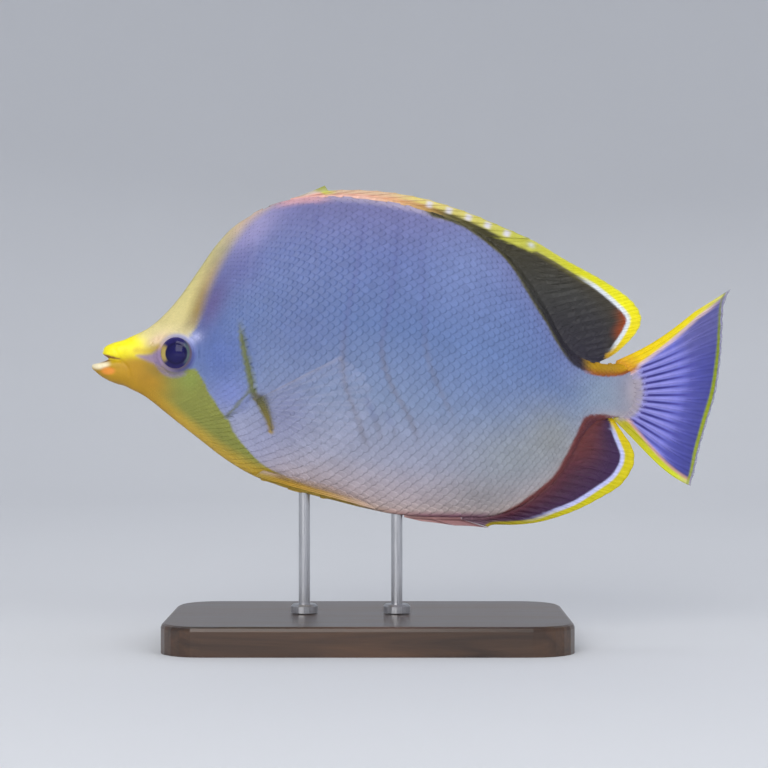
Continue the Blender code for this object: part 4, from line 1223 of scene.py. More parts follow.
def fin_half(r, ridge, ray_root, ray_tip, membrane=0.11):
    """Half the fin's thickness: a membrane, a ridge on it, and the fleshy base."""
    body = membrane + ridge * (ray_root + (ray_tip - ray_root) * np.clip(r, 0, 1))
    sheath = SHEATH_HALF * np.exp(-(np.maximum(r, 0) / 0.16) ** 2)
    return np.sqrt(body ** 2 + sheath ** 2)


print("ridge on a ray and beside it:", np.round(soft_rays(np.array([0.5, 0.52]), 0.2, 23), 2))

# %% [markdown]
# The mesh of every fin comes from one builder: two faces of the grid, left and right, and a border
# that closes them. It keeps the colours, and for the material each point's place on its ray.

# %% Build one fin
def fin_faces(columns, rows):
    """Quads of the near face, the far face and the border of a fin's grid."""
    row = rows + 1
    i, k = np.meshgrid(np.arange(columns), np.arange(rows), indexing="ij")
    a = (i * row + k).ravel()
    b = a + row
    total = (columns + 1) * row
    near = points_of(a, b, b + 1, a + 1)
    far = points_of(a, a + 1, b + 1, b) + total
    border = [n * row for n in range(columns + 1)] + [columns * row + n for n in range(1, row)]
    border += [n * row + rows for n in range(columns - 1, -1, -1)] + list(range(rows - 1, 0, -1))
    here = np.array(border)
    there = np.roll(here, -1)
    return np.vstack([near, far]), points_of(here, here + total, there + total, there)


def make_fin(name, grid, at, half, colours, clear, ridge, length, nodes):
    """A closed fin from functions of (c, r)."""
    columns, rows = grid
    c, r = np.meshgrid(np.linspace(0, 1, columns + 1), np.linspace(-0.05, 1, rows + 1), indexing="ij")
    c, r = c.ravel(), r.ravel()
    x, y, h = at(c, r)
    crest = ridge(c, r)
    thick = half(c, r, crest)
    points = np.vstack([points_of(x, y - thick, h), points_of(x, y + thick, h)])
    sides, border = fin_faces(columns, rows)
    mesh = new_mesh(name, points.tolist(), np.vstack([sides, border]).tolist())
    mesh.polygons.foreach_set("use_smooth", np.arange(len(mesh.polygons)) < len(sides))
    shades = colours(c, r, points_of(x, h))
    shades = np.clip(shades * (0.93 + 0.13 * crest[:, None]), 0.0, 1.0)
    store_colours(mesh, np.tile(shades, (2, 1)))
    inner = points_of(crest, r * length, clear(c, r, crest))
    store_places(mesh, "fin_place", np.tile(inner, (2, 1)))
    u, v = 0.01 + 0.98 * c, 0.01 + 0.46 * (r + 0.05)
    corners = face_corners(mesh)
    is_far = (corners >= len(c)) & (np.arange(len(corners)) < len(sides) * 4)
    corners = corners % len(c)
    store_map(mesh, points_of(u[corners], v[corners] + 0.5 * is_far))
    face_outwards(mesh)
    made = new_object(name, mesh)
    place_in_world(made)
    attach(made, "root")
    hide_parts(*nodes)
    return made


def flat_fin(feet, margin, sway, waves, notch, bow=None):
    """Places of a fin in the middle plane: its root, its foot, and straight on to its margin."""
    def at(c, r):
        foot, end, root = walk(feet[0], c), walk(margin, c), walk(feet[1], c)
        end = foot + (end - foot) * notch(c)[:, None]
        below = np.clip(-r / 0.05, 0, 1)
        place = foot + (end - foot) * np.maximum(r, 0)[:, None] + (root - foot) * below[:, None]
        if bow is not None:
            place[:, 1] -= bow(c, r)
        y = sway * np.sin(math.tau * (c * waves + 0.15)) * np.maximum(r, 0) ** 2
        return place[:, 0], y, place[:, 1]
    return at


fins = []
print("fin builder is ready")

# %% [markdown]
# The soft dorsal fin is olive-black. A narrow white line runs along its rear half, a little inside
# a yellow rim that widens towards the fin's rear corner, where the black glows orange. At the front
# the rim goes on from the spiny fin's yellow band, with one white dash on it.

# %% Soft dorsal fin
DORSAL_FEET = foot_lines(back_h, 20.4, 53.0)
DORSAL_MARGIN = curve([
    (32.6, 81.7), (36.3, 79.9), (43.6, 75.4), (54.1, 69.6), (61.3, 64.6), (64.3, 60.7), (64.6, 57.4),
    (62.6, 53.9), (58.6, 49.9), (55.7, 47.9)])
DORSAL_RAYS = 23


def scallop(c, count, depth=0.007):
    """The margin draws in a little between two rays."""
    u = c * (count - 1)
    return 1 - depth * np.sin(math.pi * np.abs(u - np.floor(u))) ** 2


def scalloped(count):
    """A margin for that many rays."""
    return lambda c: scallop(c, count)


def soft_ridges(count):
    """The ridges of that many soft rays."""
    return lambda c, r: soft_rays(c, r, count)


def rim_line(margin, shares, widths, places):
    """Distance in from the margin, and the white line's own distance there."""
    depth, share = nearest(margin, places)
    return depth, np.interp(share, shares, widths), share


def soft_dorsal_colour(c, r, places):
    depth, line, share = rim_line(
        DORSAL_MARGIN, [0, .04, .19, .42, .59, .75, .82, .93, 1], [2.6, 2.4, 2, 2.6, 3.6, 3.7, 3.2, 2, 1.2],
        places)
    colour = paint(blend(places[:, 1], DORSAL_TONES), tone(66, 58, 38), 0.9 * ease(0.4, 1, r))
    glow = ease(4.4, 0.2, depth - line) * ease(0.55, 0.7, share) * ease(0.94, 0.86, share)
    sheen = ease(1.6, 0.2, depth - line) * ease(0.5, 0.3, share)
    yellow = blend(share, [
        (0, 190, 188, 84), (0.3, 206, 204, 30), (0.6, 238, 232, 4), (0.88, 232, 210, 8), (1, 190, 146, 16)])
    white = ease(0.85, 0.3, np.abs(depth - line)) * (0.04 + 0.96 * ease(0.30, 0.44, share))
    from_spines, _ = nearest(np.array([(22, 86.2), (25.9, 84.7), (34.4, 81.1)]), places)
    return paint_all(colour, [
        (tone(150, 62, 8), 0.95 * glow),
        (tone(120, 112, 40), 0.5 * sheen),
        (yellow, ease(0.3, -0.3, depth - line)),
        (tone(218, 224, 230), white * ease(1, 0.9, share)),
        (tone(194, 192, 76), ease(3.8, 3, from_spines)),
        (tone(210, 214, 222), 0.9 * spot(places, (33.8, 79.6), (1, 0.7), -28.0)),
        (tone(226, 224, 150), 0.35 * ease(0.5, 0.1, depth))])


def edge_clear(amount, start):
    """Opaque up to the last part of the margin, which lets light through."""
    def clear(c, r, crest):
        return 1 - (1 - amount) * ease(start, 1.0, r) * (1 - 0.5 * crest)
    return clear


def soft_half(c, r, crest):
    return fin_half(r, crest, 0.42, 0.16)


dorsal_ridge = soft_ridges(DORSAL_RAYS)
dorsal_at = flat_fin(DORSAL_FEET, DORSAL_MARGIN, 0.5, 1.1, scalloped(DORSAL_RAYS))
fins.append(make_fin(
    "dorsal_fin_rear", (384, 56), dorsal_at, soft_half, soft_dorsal_colour, edge_clear(0.75, 0.96),
    dorsal_ridge, 24.0, ["dorsal_fin_soft"]))
print("soft dorsal fin:", len(fins[-1].data.polygons), "faces")

# %% [markdown]
# The spiny dorsal fin has thirteen spines. Its skin is pink-orange below and yellow above, notched
# between the spines, and the rear spines end in white.

# %% Spiny dorsal and anal fins
SPINE_FEET = foot_lines(back_h, -34.0, 21.0)
SPINE_TIPS = curve([
    (-24.2, 95), (-17, 95.2), (-9.8, 94.9), (-2.5, 94), (6.2, 92.1), (16.6, 88.6), (25.9, 84.7),
    (33.4, 81.5)])
DORSAL_SPINES = 13
ANAL_SPINE_FEET = foot_lines(belly_h, -2.0, 14.0)
ANAL_SPINE_TIPS = curve([(3, 1.9), (10, 0.95), (16.2, 0.3), (22, 0)])
ANAL_SPINES = 3


def notches(c, count, depth):
    """The skin's height between two spines, as a share of their length."""
    return 1 - depth * np.interp(from_ray(c, count), [0, 0.05, 0.16, 0.3, 0.5], [0, 0.28, 0.5, 0.8, 1])


def first_spine_rise(c, r):
    """The first spine stands higher than the skin behind it."""
    return -1.3 * ease(0.035, 0, c) * np.clip(r, 0, 1) ** 1.5


def spiny_dorsal_colour(c, r, places):
    depth, share = nearest(SPINE_TIPS, places)
    ground = blend(share, [
        (0, 232, 180, 168), (0.2, 236, 190, 170), (0.35, 226, 178, 132), (0.5, 186, 148, 84),
        (0.6, 104, 96, 56), (0.75, 70, 66, 40), (1, 56, 52, 36)])
    upper = blend(share, [
        (0, 206, 208, 84), (0.06, 214, 186, 158), (0.3, 216, 184, 150), (0.45, 222, 206, 116),
        (0.6, 212, 198, 112), (1, 190, 192, 70)])
    width = np.interp(share, [0, 0.4, 0.6, 0.8, 1], [1.2, 1.5, 2, 2.5, 3.3])
    colour = ground + (upper - ground) * ease(width + 0.5, width - 0.5, depth)[:, None]
    spine = 0.4 * stiff_spines(c, r, DORSAL_SPINES) * ease(0.1, 0.4, r)
    colour = paint(colour, tone(240, 210, 188), spine * ease(0.7, 0.5, c))
    step = 6 + (share - 0.5) * (DORSAL_SPINES - 1) * 0.85
    tips = ease(0.26, 0.04, np.abs(step - np.round(step))) * ease(0, 0.9, depth)
    tips = tips * ease(2.7, 1.7, depth) * ease(0.42, 0.5, share)
    front = ease(0.05, 0, c)
    return paint_all(colour, [
        (tone(218, 214, 226), 0.95 * tips),
        (tone(198, 204, 190), 0.9 * front * ease(0, 0.3, r)),
        (tone(156, 162, 46), 0.9 * front * ease(0.6, 0.8, r))])


def spiny_anal_colour(c, r, places):
    colour = blend(c, [(0, 190, 150, 146), (0.4, 166, 124, 122), (1, 150, 108, 110)])
    return paint(colour, tone(196, 168, 176), 0.5 * stiff_spines(c, r, ANAL_SPINES) * ease(0.5, 1, r))


def spine_half(c, r, crest):
    return fin_half(r, crest, 0.62, 0.26, 0.12)


def dorsal_notches(c):
    return notches(c, DORSAL_SPINES, 0.1 - 0.06 * c)


def anal_notches(c):
    return notches(c, ANAL_SPINES, 0.16)


fins.append(make_fin(
    "dorsal_fin_front", (240, 30),
    flat_fin(SPINE_FEET, SPINE_TIPS, 0.0, 1.0, dorsal_notches, first_spine_rise), spine_half,
    spiny_dorsal_colour, edge_clear(0.8, 0.9), lambda c, r: stiff_spines(c, r, DORSAL_SPINES), 11.0,
    ["dorsal_fin_spiny"]))
fins.append(make_fin(
    "anal_fin_front", (72, 30), flat_fin(ANAL_SPINE_FEET, ANAL_SPINE_TIPS, 0.0, 1.0, anal_notches),
    spine_half, spiny_anal_colour, edge_clear(0.8, 0.9),
    lambda c, r: stiff_spines(c, r, ANAL_SPINES), 7.0, ["anal_fin_spiny"]))
print("spiny fins:", len(fins[-2].data.polygons), "and", len(fins[-1].data.polygons), "faces")

# %% [markdown]
# The soft anal fin is maroon to purple, with a lavender-white line inside its yellow rim.

# %% Soft anal fin
ANAL_FEET = foot_lines(belly_h, 14.2, 54.6)
ANAL_MARGIN = curve([
    (21.6, 0.3), (23.4, 0.9), (29.5, 0.9), (35.7, 1.6), (41.6, 3.2), (47.5, 5.5), (53.4, 8.6), (58.8, 12),
    (62.1, 16.6), (62.8, 20.2), (61.8, 23.5), (59.7, 26.6), (57.8, 29.4), (56.8, 30.9), (55.4, 31.9)])
ANAL_RAYS = 20


def soft_anal_colour(c, r, places):
    depth, line, share = rim_line(
        ANAL_MARGIN, [0, .2, .31, .41, .6, .75, .85, .93, 1], [.8, 1.2, 2.0, 2.1, 3.1, 3.5, 3.0, 1.8, .8],
        places)
    colour = blend(r, [(0, 86, 39, 51), (0.25, 68, 34, 58), (0.7, 56, 30, 72), (1, 48, 30, 84)])
    yellow = blend(share, [
        (0, 160, 142, 36), (0.25, 184, 172, 16), (0.5, 200, 190, 2), (0.8, 206, 190, 0), (1, 220, 188, 6)])
    white = ease(0.85, 0.3, np.abs(depth - line)) * ease(0.12, 0.42, share)
    return paint_all(colour, [
        (tone(106, 48, 40), 0.6 * ease(0.62, 0.8, c) * ease(0.6, 0.1, r)),
        (tone(128, 100, 112), 0.7 * ease(0.25, 0, c)),
        (yellow, ease(0.3, -0.3, depth - line)),
        (tone(190, 194, 238), white * ease(0.97, 0.9, share))])


anal_ridge = soft_ridges(ANAL_RAYS)
anal_at = flat_fin(ANAL_FEET, ANAL_MARGIN, 0.5, 1.0, scalloped(ANAL_RAYS))
fins.append(make_fin(
    "anal_fin_rear", (340, 54), anal_at, soft_half, soft_anal_colour, edge_clear(0.75, 0.96), anal_ridge,
    18.0, ["anal_fin_soft"]))
print("soft anal fin:", len(fins[-1].data.polygons), "faces")

# %% [markdown]
# The tail fin is lavender, with a yellow band along its upper and lower edge and a thin yellow-green
# line before the clear rear margin. Between its middle rays the membrane is dark indigo near the
# root, in streaks that taper towards the rear.

# %% Tail fin
TAIL_ROOT = [(57.8, 47), (61.2, 45.4), (63.6, 42.4), (64.4, 38.2), (63.6, 34), (61, 31.4), (57, 30.5)]
TAIL_MARGIN = curve([
    (90, 67.2), (88.2, 62.6), (87.8, 56.1), (87.2, 48), (85.6, 38), (83, 29.3), (81, 22), (79.8, 16),
    (78.6, 11.8)])
TAIL_RAYS = 17
TOP_HOLLOW = 1.3
LOW_BULGE = 1.8


def tail_line(offset):
    """The flesh's end on the tail, moved rearwards by offset."""
    line = curve(TAIL_ROOT)
    way = np.gradient(line, axis=0)
    way /= np.linalg.norm(way, axis=1, keepdims=True)
    return line + points_of(-way[:, 1], way[:, 0]) * offset


def tail_bow(c, r):
    """The tail's upper edge is hollow and its lower edge full."""
    up = 1 - 2 * c
    inner = np.clip(r, 0, 1)
    hollow = np.sin(math.pi * np.minimum(inner / 0.68, 1.0)) * np.maximum(up, 0) ** 2
    bulge = np.sin(math.pi * inner ** 1.5) * np.maximum(-up, 0) ** 2
    return TOP_HOLLOW * hollow + LOW_BULGE * bulge


TAIL_FEET = (tail_line(GAP / 2), tail_line(-ROOT_DEPTH))
tail_at = flat_fin(TAIL_FEET, TAIL_MARGIN, 1.0, 0.9, scalloped(TAIL_RAYS), tail_bow)


def tail_edge(c_value):
    """One edge of the tail fin as a line from root to tip."""
    r = np.linspace(0, 1, 60)
    x, _, h = tail_at(np.full_like(r, c_value), r)
    return points_of(x, h)


def tail_colour(c, r, places):
    draw = np.random.default_rng(21)
    reach = 0.52 + 0.12 * draw.random(TAIL_RAYS)
    u = c * (TAIL_RAYS - 1)
    span = np.clip(np.floor(u).astype(int), 0, TAIL_RAYS - 2)
    across = np.abs(u - span - 0.5)
    ground = blend(r, [
        (0, 150, 146, 168), (0.1, 122, 124, 200), (0.3, 118, 122, 206), (0.5, 106, 110, 200),
        (0.64, 78, 80, 164), (1, 60, 62, 132)])
    upper_rear = 0.7 * ease(0.4, 0.12, c) * ease(0.45, 0.65, r)
    ground = paint(ground, tone(98, 96, 152), upper_rear)
    along_rays = ease(0.12, 0.36, across) * ease(0.82, 0.3, r)
    width = 0.1 * ease(reach[span] + 0.06, 0.1, r) + 0.03
    streak = ease(width + 0.14, width - 0.03, across) * ease(-0.02, 0.05, r)
    streak = streak * ease(reach[span] + 0.14, reach[span] - 0.1, r)
    streak = streak * ease(0.12, 0.24, c) * ease(0.97, 0.86, c)
    shade = blend(r, [(0, 66, 52, 128), (0.25, 44, 38, 118), (0.6, 74, 68, 156)])
    colour = paint_all(ground, [(tone(150, 146, 214), 0.65 * along_rays), (shade, 0.95 * streak)])
    from_top, _ = nearest(tail_edge(0.0), places)
    from_low, _ = nearest(tail_edge(1.0), places)
    from_rear, share = nearest(TAIL_MARGIN, places)
    band = blend(r, [
        (0, 206, 146, 16), (0.18, 236, 206, 4), (0.7, 232, 216, 20), (0.92, 204, 200, 110),
        (1, 196, 190, 140)])
    width = np.interp(r, [0, 0.1, 0.3, 0.6, 0.85, 1], [4.5, 3.3, 2.5, 1.7, 1.1, 0.6])
    inner = from_top - width
    colour = paint_all(colour, [
        (tone(226, 196, 190), 0.8 * ease(1.5, 0.3, inner) * ease(1, 0.8, r)),
        (band, ease(0.35, -0.35, inner)),
        (tone(150, 76, 20), 0.7 * ease(0.9, 0.1, np.abs(inner)) * ease(0.12, 0, r))])
    band = blend(r, [(0, 176, 162, 40), (0.4, 198, 196, 26), (0.8, 206, 214, 44), (1, 202, 194, 140)])
    width = np.interp(r, [0, 0.4, 1], [2.5, 1.8, 1.1])
    inner = from_low - width
    colour = paint_all(colour, [
        (tone(224, 172, 126), 0.75 * ease(1.2, 0.2, inner)), (band, ease(0.35, -0.35, inner))])
    line_half = np.interp(share, [0, 0.12, 0.35, 0.6, 0.85, 1], [0.12, 0.25, 0.46, 0.56, 0.44, 0.25])
    rear = ease(0.3, -0.25, np.abs(from_rear - 1.05) - line_half)
    margin = blend(share, [(0, 130, 130, 80), (0.2, 120, 134, 10), (0.6, 140, 152, 4), (1, 150, 160, 50)])
    beyond = ease(0.15, -0.25, from_rear - 1.05 + line_half)
    root = ease(0.06, -0.01, r) * ease(0.24, 0.36, c) * ease(1, 0.9, c)
    return paint_all(colour, [
        (margin, rear), (tone(150, 146, 178), 0.9 * beyond * (1 - rear)), (tone(160, 152, 164), root)])


def tail_clear(c, r, crest):
    x, _, h = tail_at(c, r)
    from_rear, _ = nearest(TAIL_MARGIN, points_of(x, h))
    return 1 - 0.82 * ease(0.6, 0.3, from_rear) * (1 - 0.3 * crest)


def tail_half(c, r, crest):
    body = 0.12 + crest * (0.44 - 0.28 * np.clip(r, 0, 1))
    return np.sqrt(body ** 2 + (0.62 * np.exp(-(np.maximum(r, 0) / 0.2) ** 2)) ** 2)


tail_ridge = soft_ridges(TAIL_RAYS)
fins.append(make_fin(
    "tail_fin", (352, 64), tail_at, tail_half, tail_colour, tail_clear, tail_ridge, 25.0,
    ["caudal_fin"]))
print("tail fin:", len(fins[-1].data.polygons), "faces")

# %% [markdown]
# The pectoral fins are almost clear, so the flank shows through them. Each leans away from the body
# with its root on a pad of flesh. The pelvic fins lie folded back along the belly.

# %% Paired fins
PECTORAL_FEET = curve([(-42, 36.7), (-40.7, 33.6), (-39.6, 30.6), (-38.9, 27.8)])
PECTORAL_TURNS = np.radians((27, -58))
PECTORAL_SPLAY = math.radians(20.0)
PECTORAL_RAYS = 15
PELVIC_RAYS = 6
pectoral_length = profile([(0, 27), (0.2, 32.5), (0.45, 29), (0.75, 20), (1, 12)])


def half_width_at(x, h):
    """Half the body's width at a place of the flank."""
    middle = widest_h(x)
    edge = np.where(h >= middle, back_edge(x), keel_edge(x))
    rise = np.where(h >= middle, back_h(x) - middle, middle - belly_h(x))
    u = np.clip(np.abs(h - middle) / rise, 0.0, 1.0)
    return edge + (half_width(x) - edge) * (1 - u * u) ** (LENS_POWER / 2)


def pectoral_at(side):
    def at(c, r):
        foot = walk(PECTORAL_FEET, c)
        turn = PECTORAL_TURNS[0] + (PECTORAL_TURNS[1] - PECTORAL_TURNS[0]) * c
        reach = pectoral_length(c) * scallop(c, PECTORAL_RAYS, 0.03) * r
        cup = 0.9 * np.sin(math.pi * np.clip(r, 0, 1)) * np.sin(math.pi * c)
        y = half_width_at(foot[:, 0], foot[:, 1]) + GAP + 0.3 + reach * math.sin(PECTORAL_SPLAY) + cup * 0.5
        y = y - 1.2 * ease(0.03, -0.05, r)
        x = foot[:, 0] + np.cos(turn) * reach * math.cos(PECTORAL_SPLAY)
        return x, side * y, foot[:, 1] + np.sin(turn) * reach * math.cos(PECTORAL_SPLAY)
    return at


def pectoral_colour(c, r, places):
    root = blend(c, [(0, 92, 92, 66), (0.3, 118, 112, 62), (1, 160, 140, 60)])
    colour = blend(r, [(0, 160, 160, 150), (0.12, 184, 188, 214), (1, 200, 200, 226)])
    colour = colour + (root - colour) * ease(0.09, 0.02, r)[:, None]
    return paint(colour, tone(178, 160, 150), 0.5 * ease(0.12, 0, c) * ease(0.1, 0.2, r))


def pectoral_clear(c, r, crest):
    root = ease(0.075, 0, r)
    front = 0.16 * ease(0.06, 0, c) * (1 - 0.6 * r)
    return np.clip(0.03 + 0.12 * crest * (1 - 0.6 * r) + 0.85 * root + front, 0.0, 1.0)


def pelvic_at(side):
    def at(c, r):
        foot_x = -42.0 + 1.6 * c
        end_x = -42.0 + 32.0 * (1 - 0.38 * c ** 1.5)
        foot_h = belly_h(foot_x) + 0.9 + 2.4 * c
        end_h = belly_h(end_x) + 0.9 + 3.6 * c
        x = foot_x + (end_x - foot_x) * r
        h = foot_h + (end_h - foot_h) * r
        level = np.maximum(h, belly_h(x) + 0.9)
        lean = 1.2 * np.clip(r, 0, 1) * (1 - 0.15 * c)
        y = half_width_at(x, level) + GAP + 0.62 + lean - 0.7 * ease(0.08, -0.05, r)
        return x, side * y, h
    return at


def pelvic_clear(c, r, crest):
    upper = ease(0.2, 0.6, c) * ease(0.06, 0.3, r)
    return 1 - (0.86 - 0.3 * crest) * upper


def pelvic_colour(c, r, places):
    colour = blend(r, [
        (-0.05, 176, 150, 66), (0.25, 200, 160, 62), (0.6, 206, 166, 96), (1, 214, 186, 170)])
    return paint(colour, tone(186, 168, 170), 0.55 * ease(0.3, 0.9, c))


def pectoral_half(c, r, crest):
    return fin_half(r * 1.6, crest, 0.30, 0.09, 0.07)


def pelvic_half(c, r, crest):
    return fin_half(r * 1.6, crest, 0.34, 0.14, 0.12) * 0.9


for label, side in SIDES:
    fins.append(make_fin(
        f"side_fin_{label}", (196, 44), pectoral_at(side), pectoral_half, pectoral_colour, pectoral_clear,
        soft_ridges(PECTORAL_RAYS), 30.0, [f"pectoral_fin_{label}"]))
    fins.append(make_fin(
        f"belly_fin_{label}", (80, 60), pelvic_at(side), pelvic_half, pelvic_colour, pelvic_clear,
        soft_ridges(PELVIC_RAYS), 30.0, [f"pelvic_fin_{label}"]))
print("fins in all:", len(fins))

# %% [markdown]
# Small scales also climb from the body onto the bases of the soft dorsal, anal and tail fins, where
# they hide the seam between flesh and fin. They lie in rows along the fin's foot, each in line with
# its own ray, and get smaller towards the margin.

# %% Scales on the fins' bases
def fin_scales(label, at, half, ridge, tones, pitch, reach, first, form, seed):
    """Rows of scales on both faces of a fin; reach is the share of each ray that they cover."""
    draw = np.random.default_rng(seed)
    fine = np.linspace(0, 1, 400)
    foot, end = [np.stack(at(fine, np.full(400, r)), axis=-1)[:, [0, 2]] for r in (0.0, 1.0)]
    lengths = np.linalg.norm(end - foot, axis=1)
    covered = lengths * np.interp(fine, *reach)
    roots, distance, row = [], first, 0
    while distance < covered.max():
        step = float(np.interp(distance / covered.max(), [0, 1], pitch))
        line = np.stack(at(fine, distance / lengths), axis=-1)[:, [0, 2]]
        arc = lengths_along(line)
        wanted = np.arange(0.25 if row % 2 else 0.75, arc[-1] / step, 1.0) * step
        c = np.interp(wanted, arc, fine)
        inside = distance < np.interp(c, fine, covered)
        slope = np.interp(c, 0.5 * (fine[1:] + fine[:-1]), np.diff(arc) / np.diff(fine))
        here = points_of(c, np.full_like(c, distance), np.full_like(c, step), slope)
        roots.append(here[inside & (c > 0.006) & (c < 0.994)])
        distance += COLUMN_SHARE * step
        row += 1
    roots = np.vstack(roots)
    count = len(roots)
    a, b, w = form[0].T
    size = 1 + draw.normal(0, 0.03, (count, 1))
    turn = draw.normal(0, 0.05, (count, 1))
    along = a * roots[:, 2:3] * SCALE_LENGTH * size
    across = b * roots[:, 2:3] * SCALE_WIDTH * size / 2 + along * turn
    c = np.clip(roots[:, 0:1] + across / roots[:, 3:4], 0, 1).ravel()
    r = ((roots[:, 1:2] + along) / np.interp(roots[:, 0:1], fine, lengths)).ravel()
    x, y, h = at(c, r)
    lift = (w * SCALE_LIFT * roots[:, 2:3] - ROOT_SUNK * 0.6).ravel()
    out = half(c, r, ridge(c, r)) + lift
    colours = tones(c, r, points_of(x, h))
    shade = np.repeat(1 + draw.normal(0, TONE_SPREAD * 1.6, (count, 1)), len(a), axis=0)
    inner = np.tile(form[0], (count, 1))
    colours = np.clip(colours * shade * (0.93 + 0.12 * inner[:, 0:1]), 0.0, 1.0)
    at_root = np.repeat(roots[:, :2], len(a), axis=0) * (0.9, 0.4 / covered.max()) + (0.05, 0.05)
    map_places = at_root + (inner[:, :2] - (0.5, 0)) * (PATCH, PATCH / 2)
    inner = np.column_stack([inner[:, :2], np.repeat(draw.random(count), len(a))])
    made = []
    for side_label, side in SIDES:
        placed = points_of(x, y + side * out, h)
        made.append(coat_piece(f"scales_{label}_{side_label}", placed, inner, colours, form, map_places))
    return made


coat += fin_scales(
    "dorsal_base", dorsal_at, soft_half, dorsal_ridge, soft_dorsal_colour, (1.55, 0.75),
    ([0, 0.3, 0.7, 1], [0.45, 0.55, 0.6, 0.5]), -0.7, small_scale, 31)
coat += fin_scales(
    "anal_base", anal_at, soft_half, anal_ridge, soft_anal_colour, (1.45, 0.75),
    ([0, 0.3, 0.7, 1], [0.4, 0.5, 0.55, 0.5]), -0.7, small_scale, 32)
coat += fin_scales(
    "tail_base", tail_at, tail_half, tail_ridge, tail_colour, (1.05, 0.5),
    ([0, 0.15, 0.5, 0.85, 1], [0.1, 0.07, 0.05, 0.07, 0.1]), -0.9, small_scale, 33)
print("scales on fin bases:", [len(piece.data.vertices) // len(small_scale[0]) for piece in coat[-6:]])

# %% [markdown]
# ## Eyes
# A fish's eye has a ball-shaped lens that stands out of the pupil, and an iris that falls away round
# it. On a model both are one turned form under a clear varnish: light glints on the varnish while
# the colours below stay matt, and that makes an eye look alive.

# %% Eye balls
IRIS_RINGS = [(2.9, 1.40), (2.98, 1.37), (3.3, 1.27), (3.7, 1.11), (4.1, 0.89), (4.4, 0.62), (4.6, 0.36)]
LENS_RINGS = [
    (0, 2.08), (0.7, 2.04), (1.3, 1.96), (1.8, 1.84), (2.3, 1.67), (2.65, 1.52), (2.82, 1.44), (2.9, 1.40)]
EYE_TURNS = 96


def eye_colours(radius, turn):
    """The pupil's navy, and the iris with gold before it and grey-green behind."""
    colour = blend(radius, [
        (0, 14, 8, 80), (2.2, 12, 6, 74), (2.85, 8, 4, 56), (3.1, 22, 14, 76), (4.1, 30, 24, 88),
        (4.6, 70, 64, 124)])
    toward_snout = np.cos(turn + math.pi)
    ring = ease(2.98, 3.3, radius)
    colour = paint(colour, tone(178, 156, 84), 0.95 * ring * ease(0.72, 0.96, toward_snout))
    return paint(colour, tone(80, 98, 94), 0.85 * ring * ease(0.45, 0.97, -toward_snout))


def lathe_eye(name, side, rings):
    """An eye part from rings of (radius, outward offset) round the eye's axis."""
    turns = full_turn(EYE_TURNS)
    points, radii, angles = [], [], []
    for radius, outward in rings:
        forward = radius * np.cos(turns)
        y = EYE_Y + outward + EYE_SLOPE * forward
        points.append(points_of(EYE_X + forward, side * y, EYE_H + radius * np.sin(turns)))
        radii.append(np.full(EYE_TURNS, radius if outward > 0 else 4.6))
        angles.append(turns)
    made = closed_loft(name, points if side > 0 else [ring[::-1] for ring in points])
    angle = np.concatenate(angles if side > 0 else [a[::-1] for a in angles])
    return made, np.concatenate(radii), angle


def dome(radius):
    """How deep the eye's ball reaches at a radius from its axis."""
    return EYE_HALF_DEPTH * math.sqrt(1 - (radius / EYE_RADIUS) ** 2)


def make_eye(label, side):
    back = [(radius, -dome(radius)) for radius in (4.55, 4, 3, 1.6, 0.05)]
    rings = [(max(r, 0.02), o) for r, o in LENS_RINGS] + IRIS_RINGS[1:] + back
    ball, radius, turn = lathe_eye(f"eye_ball_{label}", side, rings)
    store_colours(ball.data, eye_colours(radius, turn))
    face_outwards(ball.data)
    place_in_world(ball)
    ball.data.shade_smooth()
    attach(ball, "root")
    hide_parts(f"eye_{label}")
    return ball


eyes = [make_eye("left", -1), make_eye("right", 1)]
print("eye balls:", [ball.name for ball in eyes])

# %% [markdown]
# ## Materials
# The colours already lie in the meshes, point by point. What the materials add is fine structure and
# gloss: pores and a mottled tone on the skin, growth rings on each scale, the joints of a ray, and
# the wet sheen of a varnished model. The mottle, which nearly all of them share, the growth rings
# and the joints are node groups.

# %% Shared node groups
def new_group(name, inputs, outputs):
    """An empty shader node group with named sockets."""
    group = bpy.data.node_groups.new(name, "ShaderNodeTree")
    for label, kind, value in inputs:
        socket = group.interface.new_socket(label, in_out="INPUT", socket_type=kind)
        if value is not None:
            socket.default_value = value
    for label, kind in outputs:
        group.interface.new_socket(label, in_out="OUTPUT", socket_type=kind)
    return group, group.nodes.new("NodeGroupInput").outputs, group.nodes.new("NodeGroupOutput").inputs


def node(tree, kind, values=None, **settings):
    """A node with its settings and its sockets' values."""
    made = tree.nodes.new(kind)
    for key, value in settings.items():
        setattr(made, key, value)
    for key, value in (values or {}).items():
        made.inputs[key].default_value = value
    return made


def sums(tree, operation, a, b=0.0):
    """One Math node; a and b are sockets or numbers."""
    made = node(tree, "ShaderNodeMath", operation=operation)
    for socket, value in zip(made.inputs, (a, b)):
        if isinstance(value, (int, float)):
            socket.default_value = value
        else:
            tree.links.new(value, socket)
    return made.outputs[0]


def times(tree, a, b):
    return sums(tree, "MULTIPLY", a, b)


def tinted(tree, colour, factor):
    """A colour multiplied by a grey factor."""
    made = node(tree, "ShaderNodeVectorMath", operation="SCALE")
    tree.links.new(colour, made.inputs[0])
    tree.links.new(factor, made.inputs["Scale"])
    return made.outputs[0]


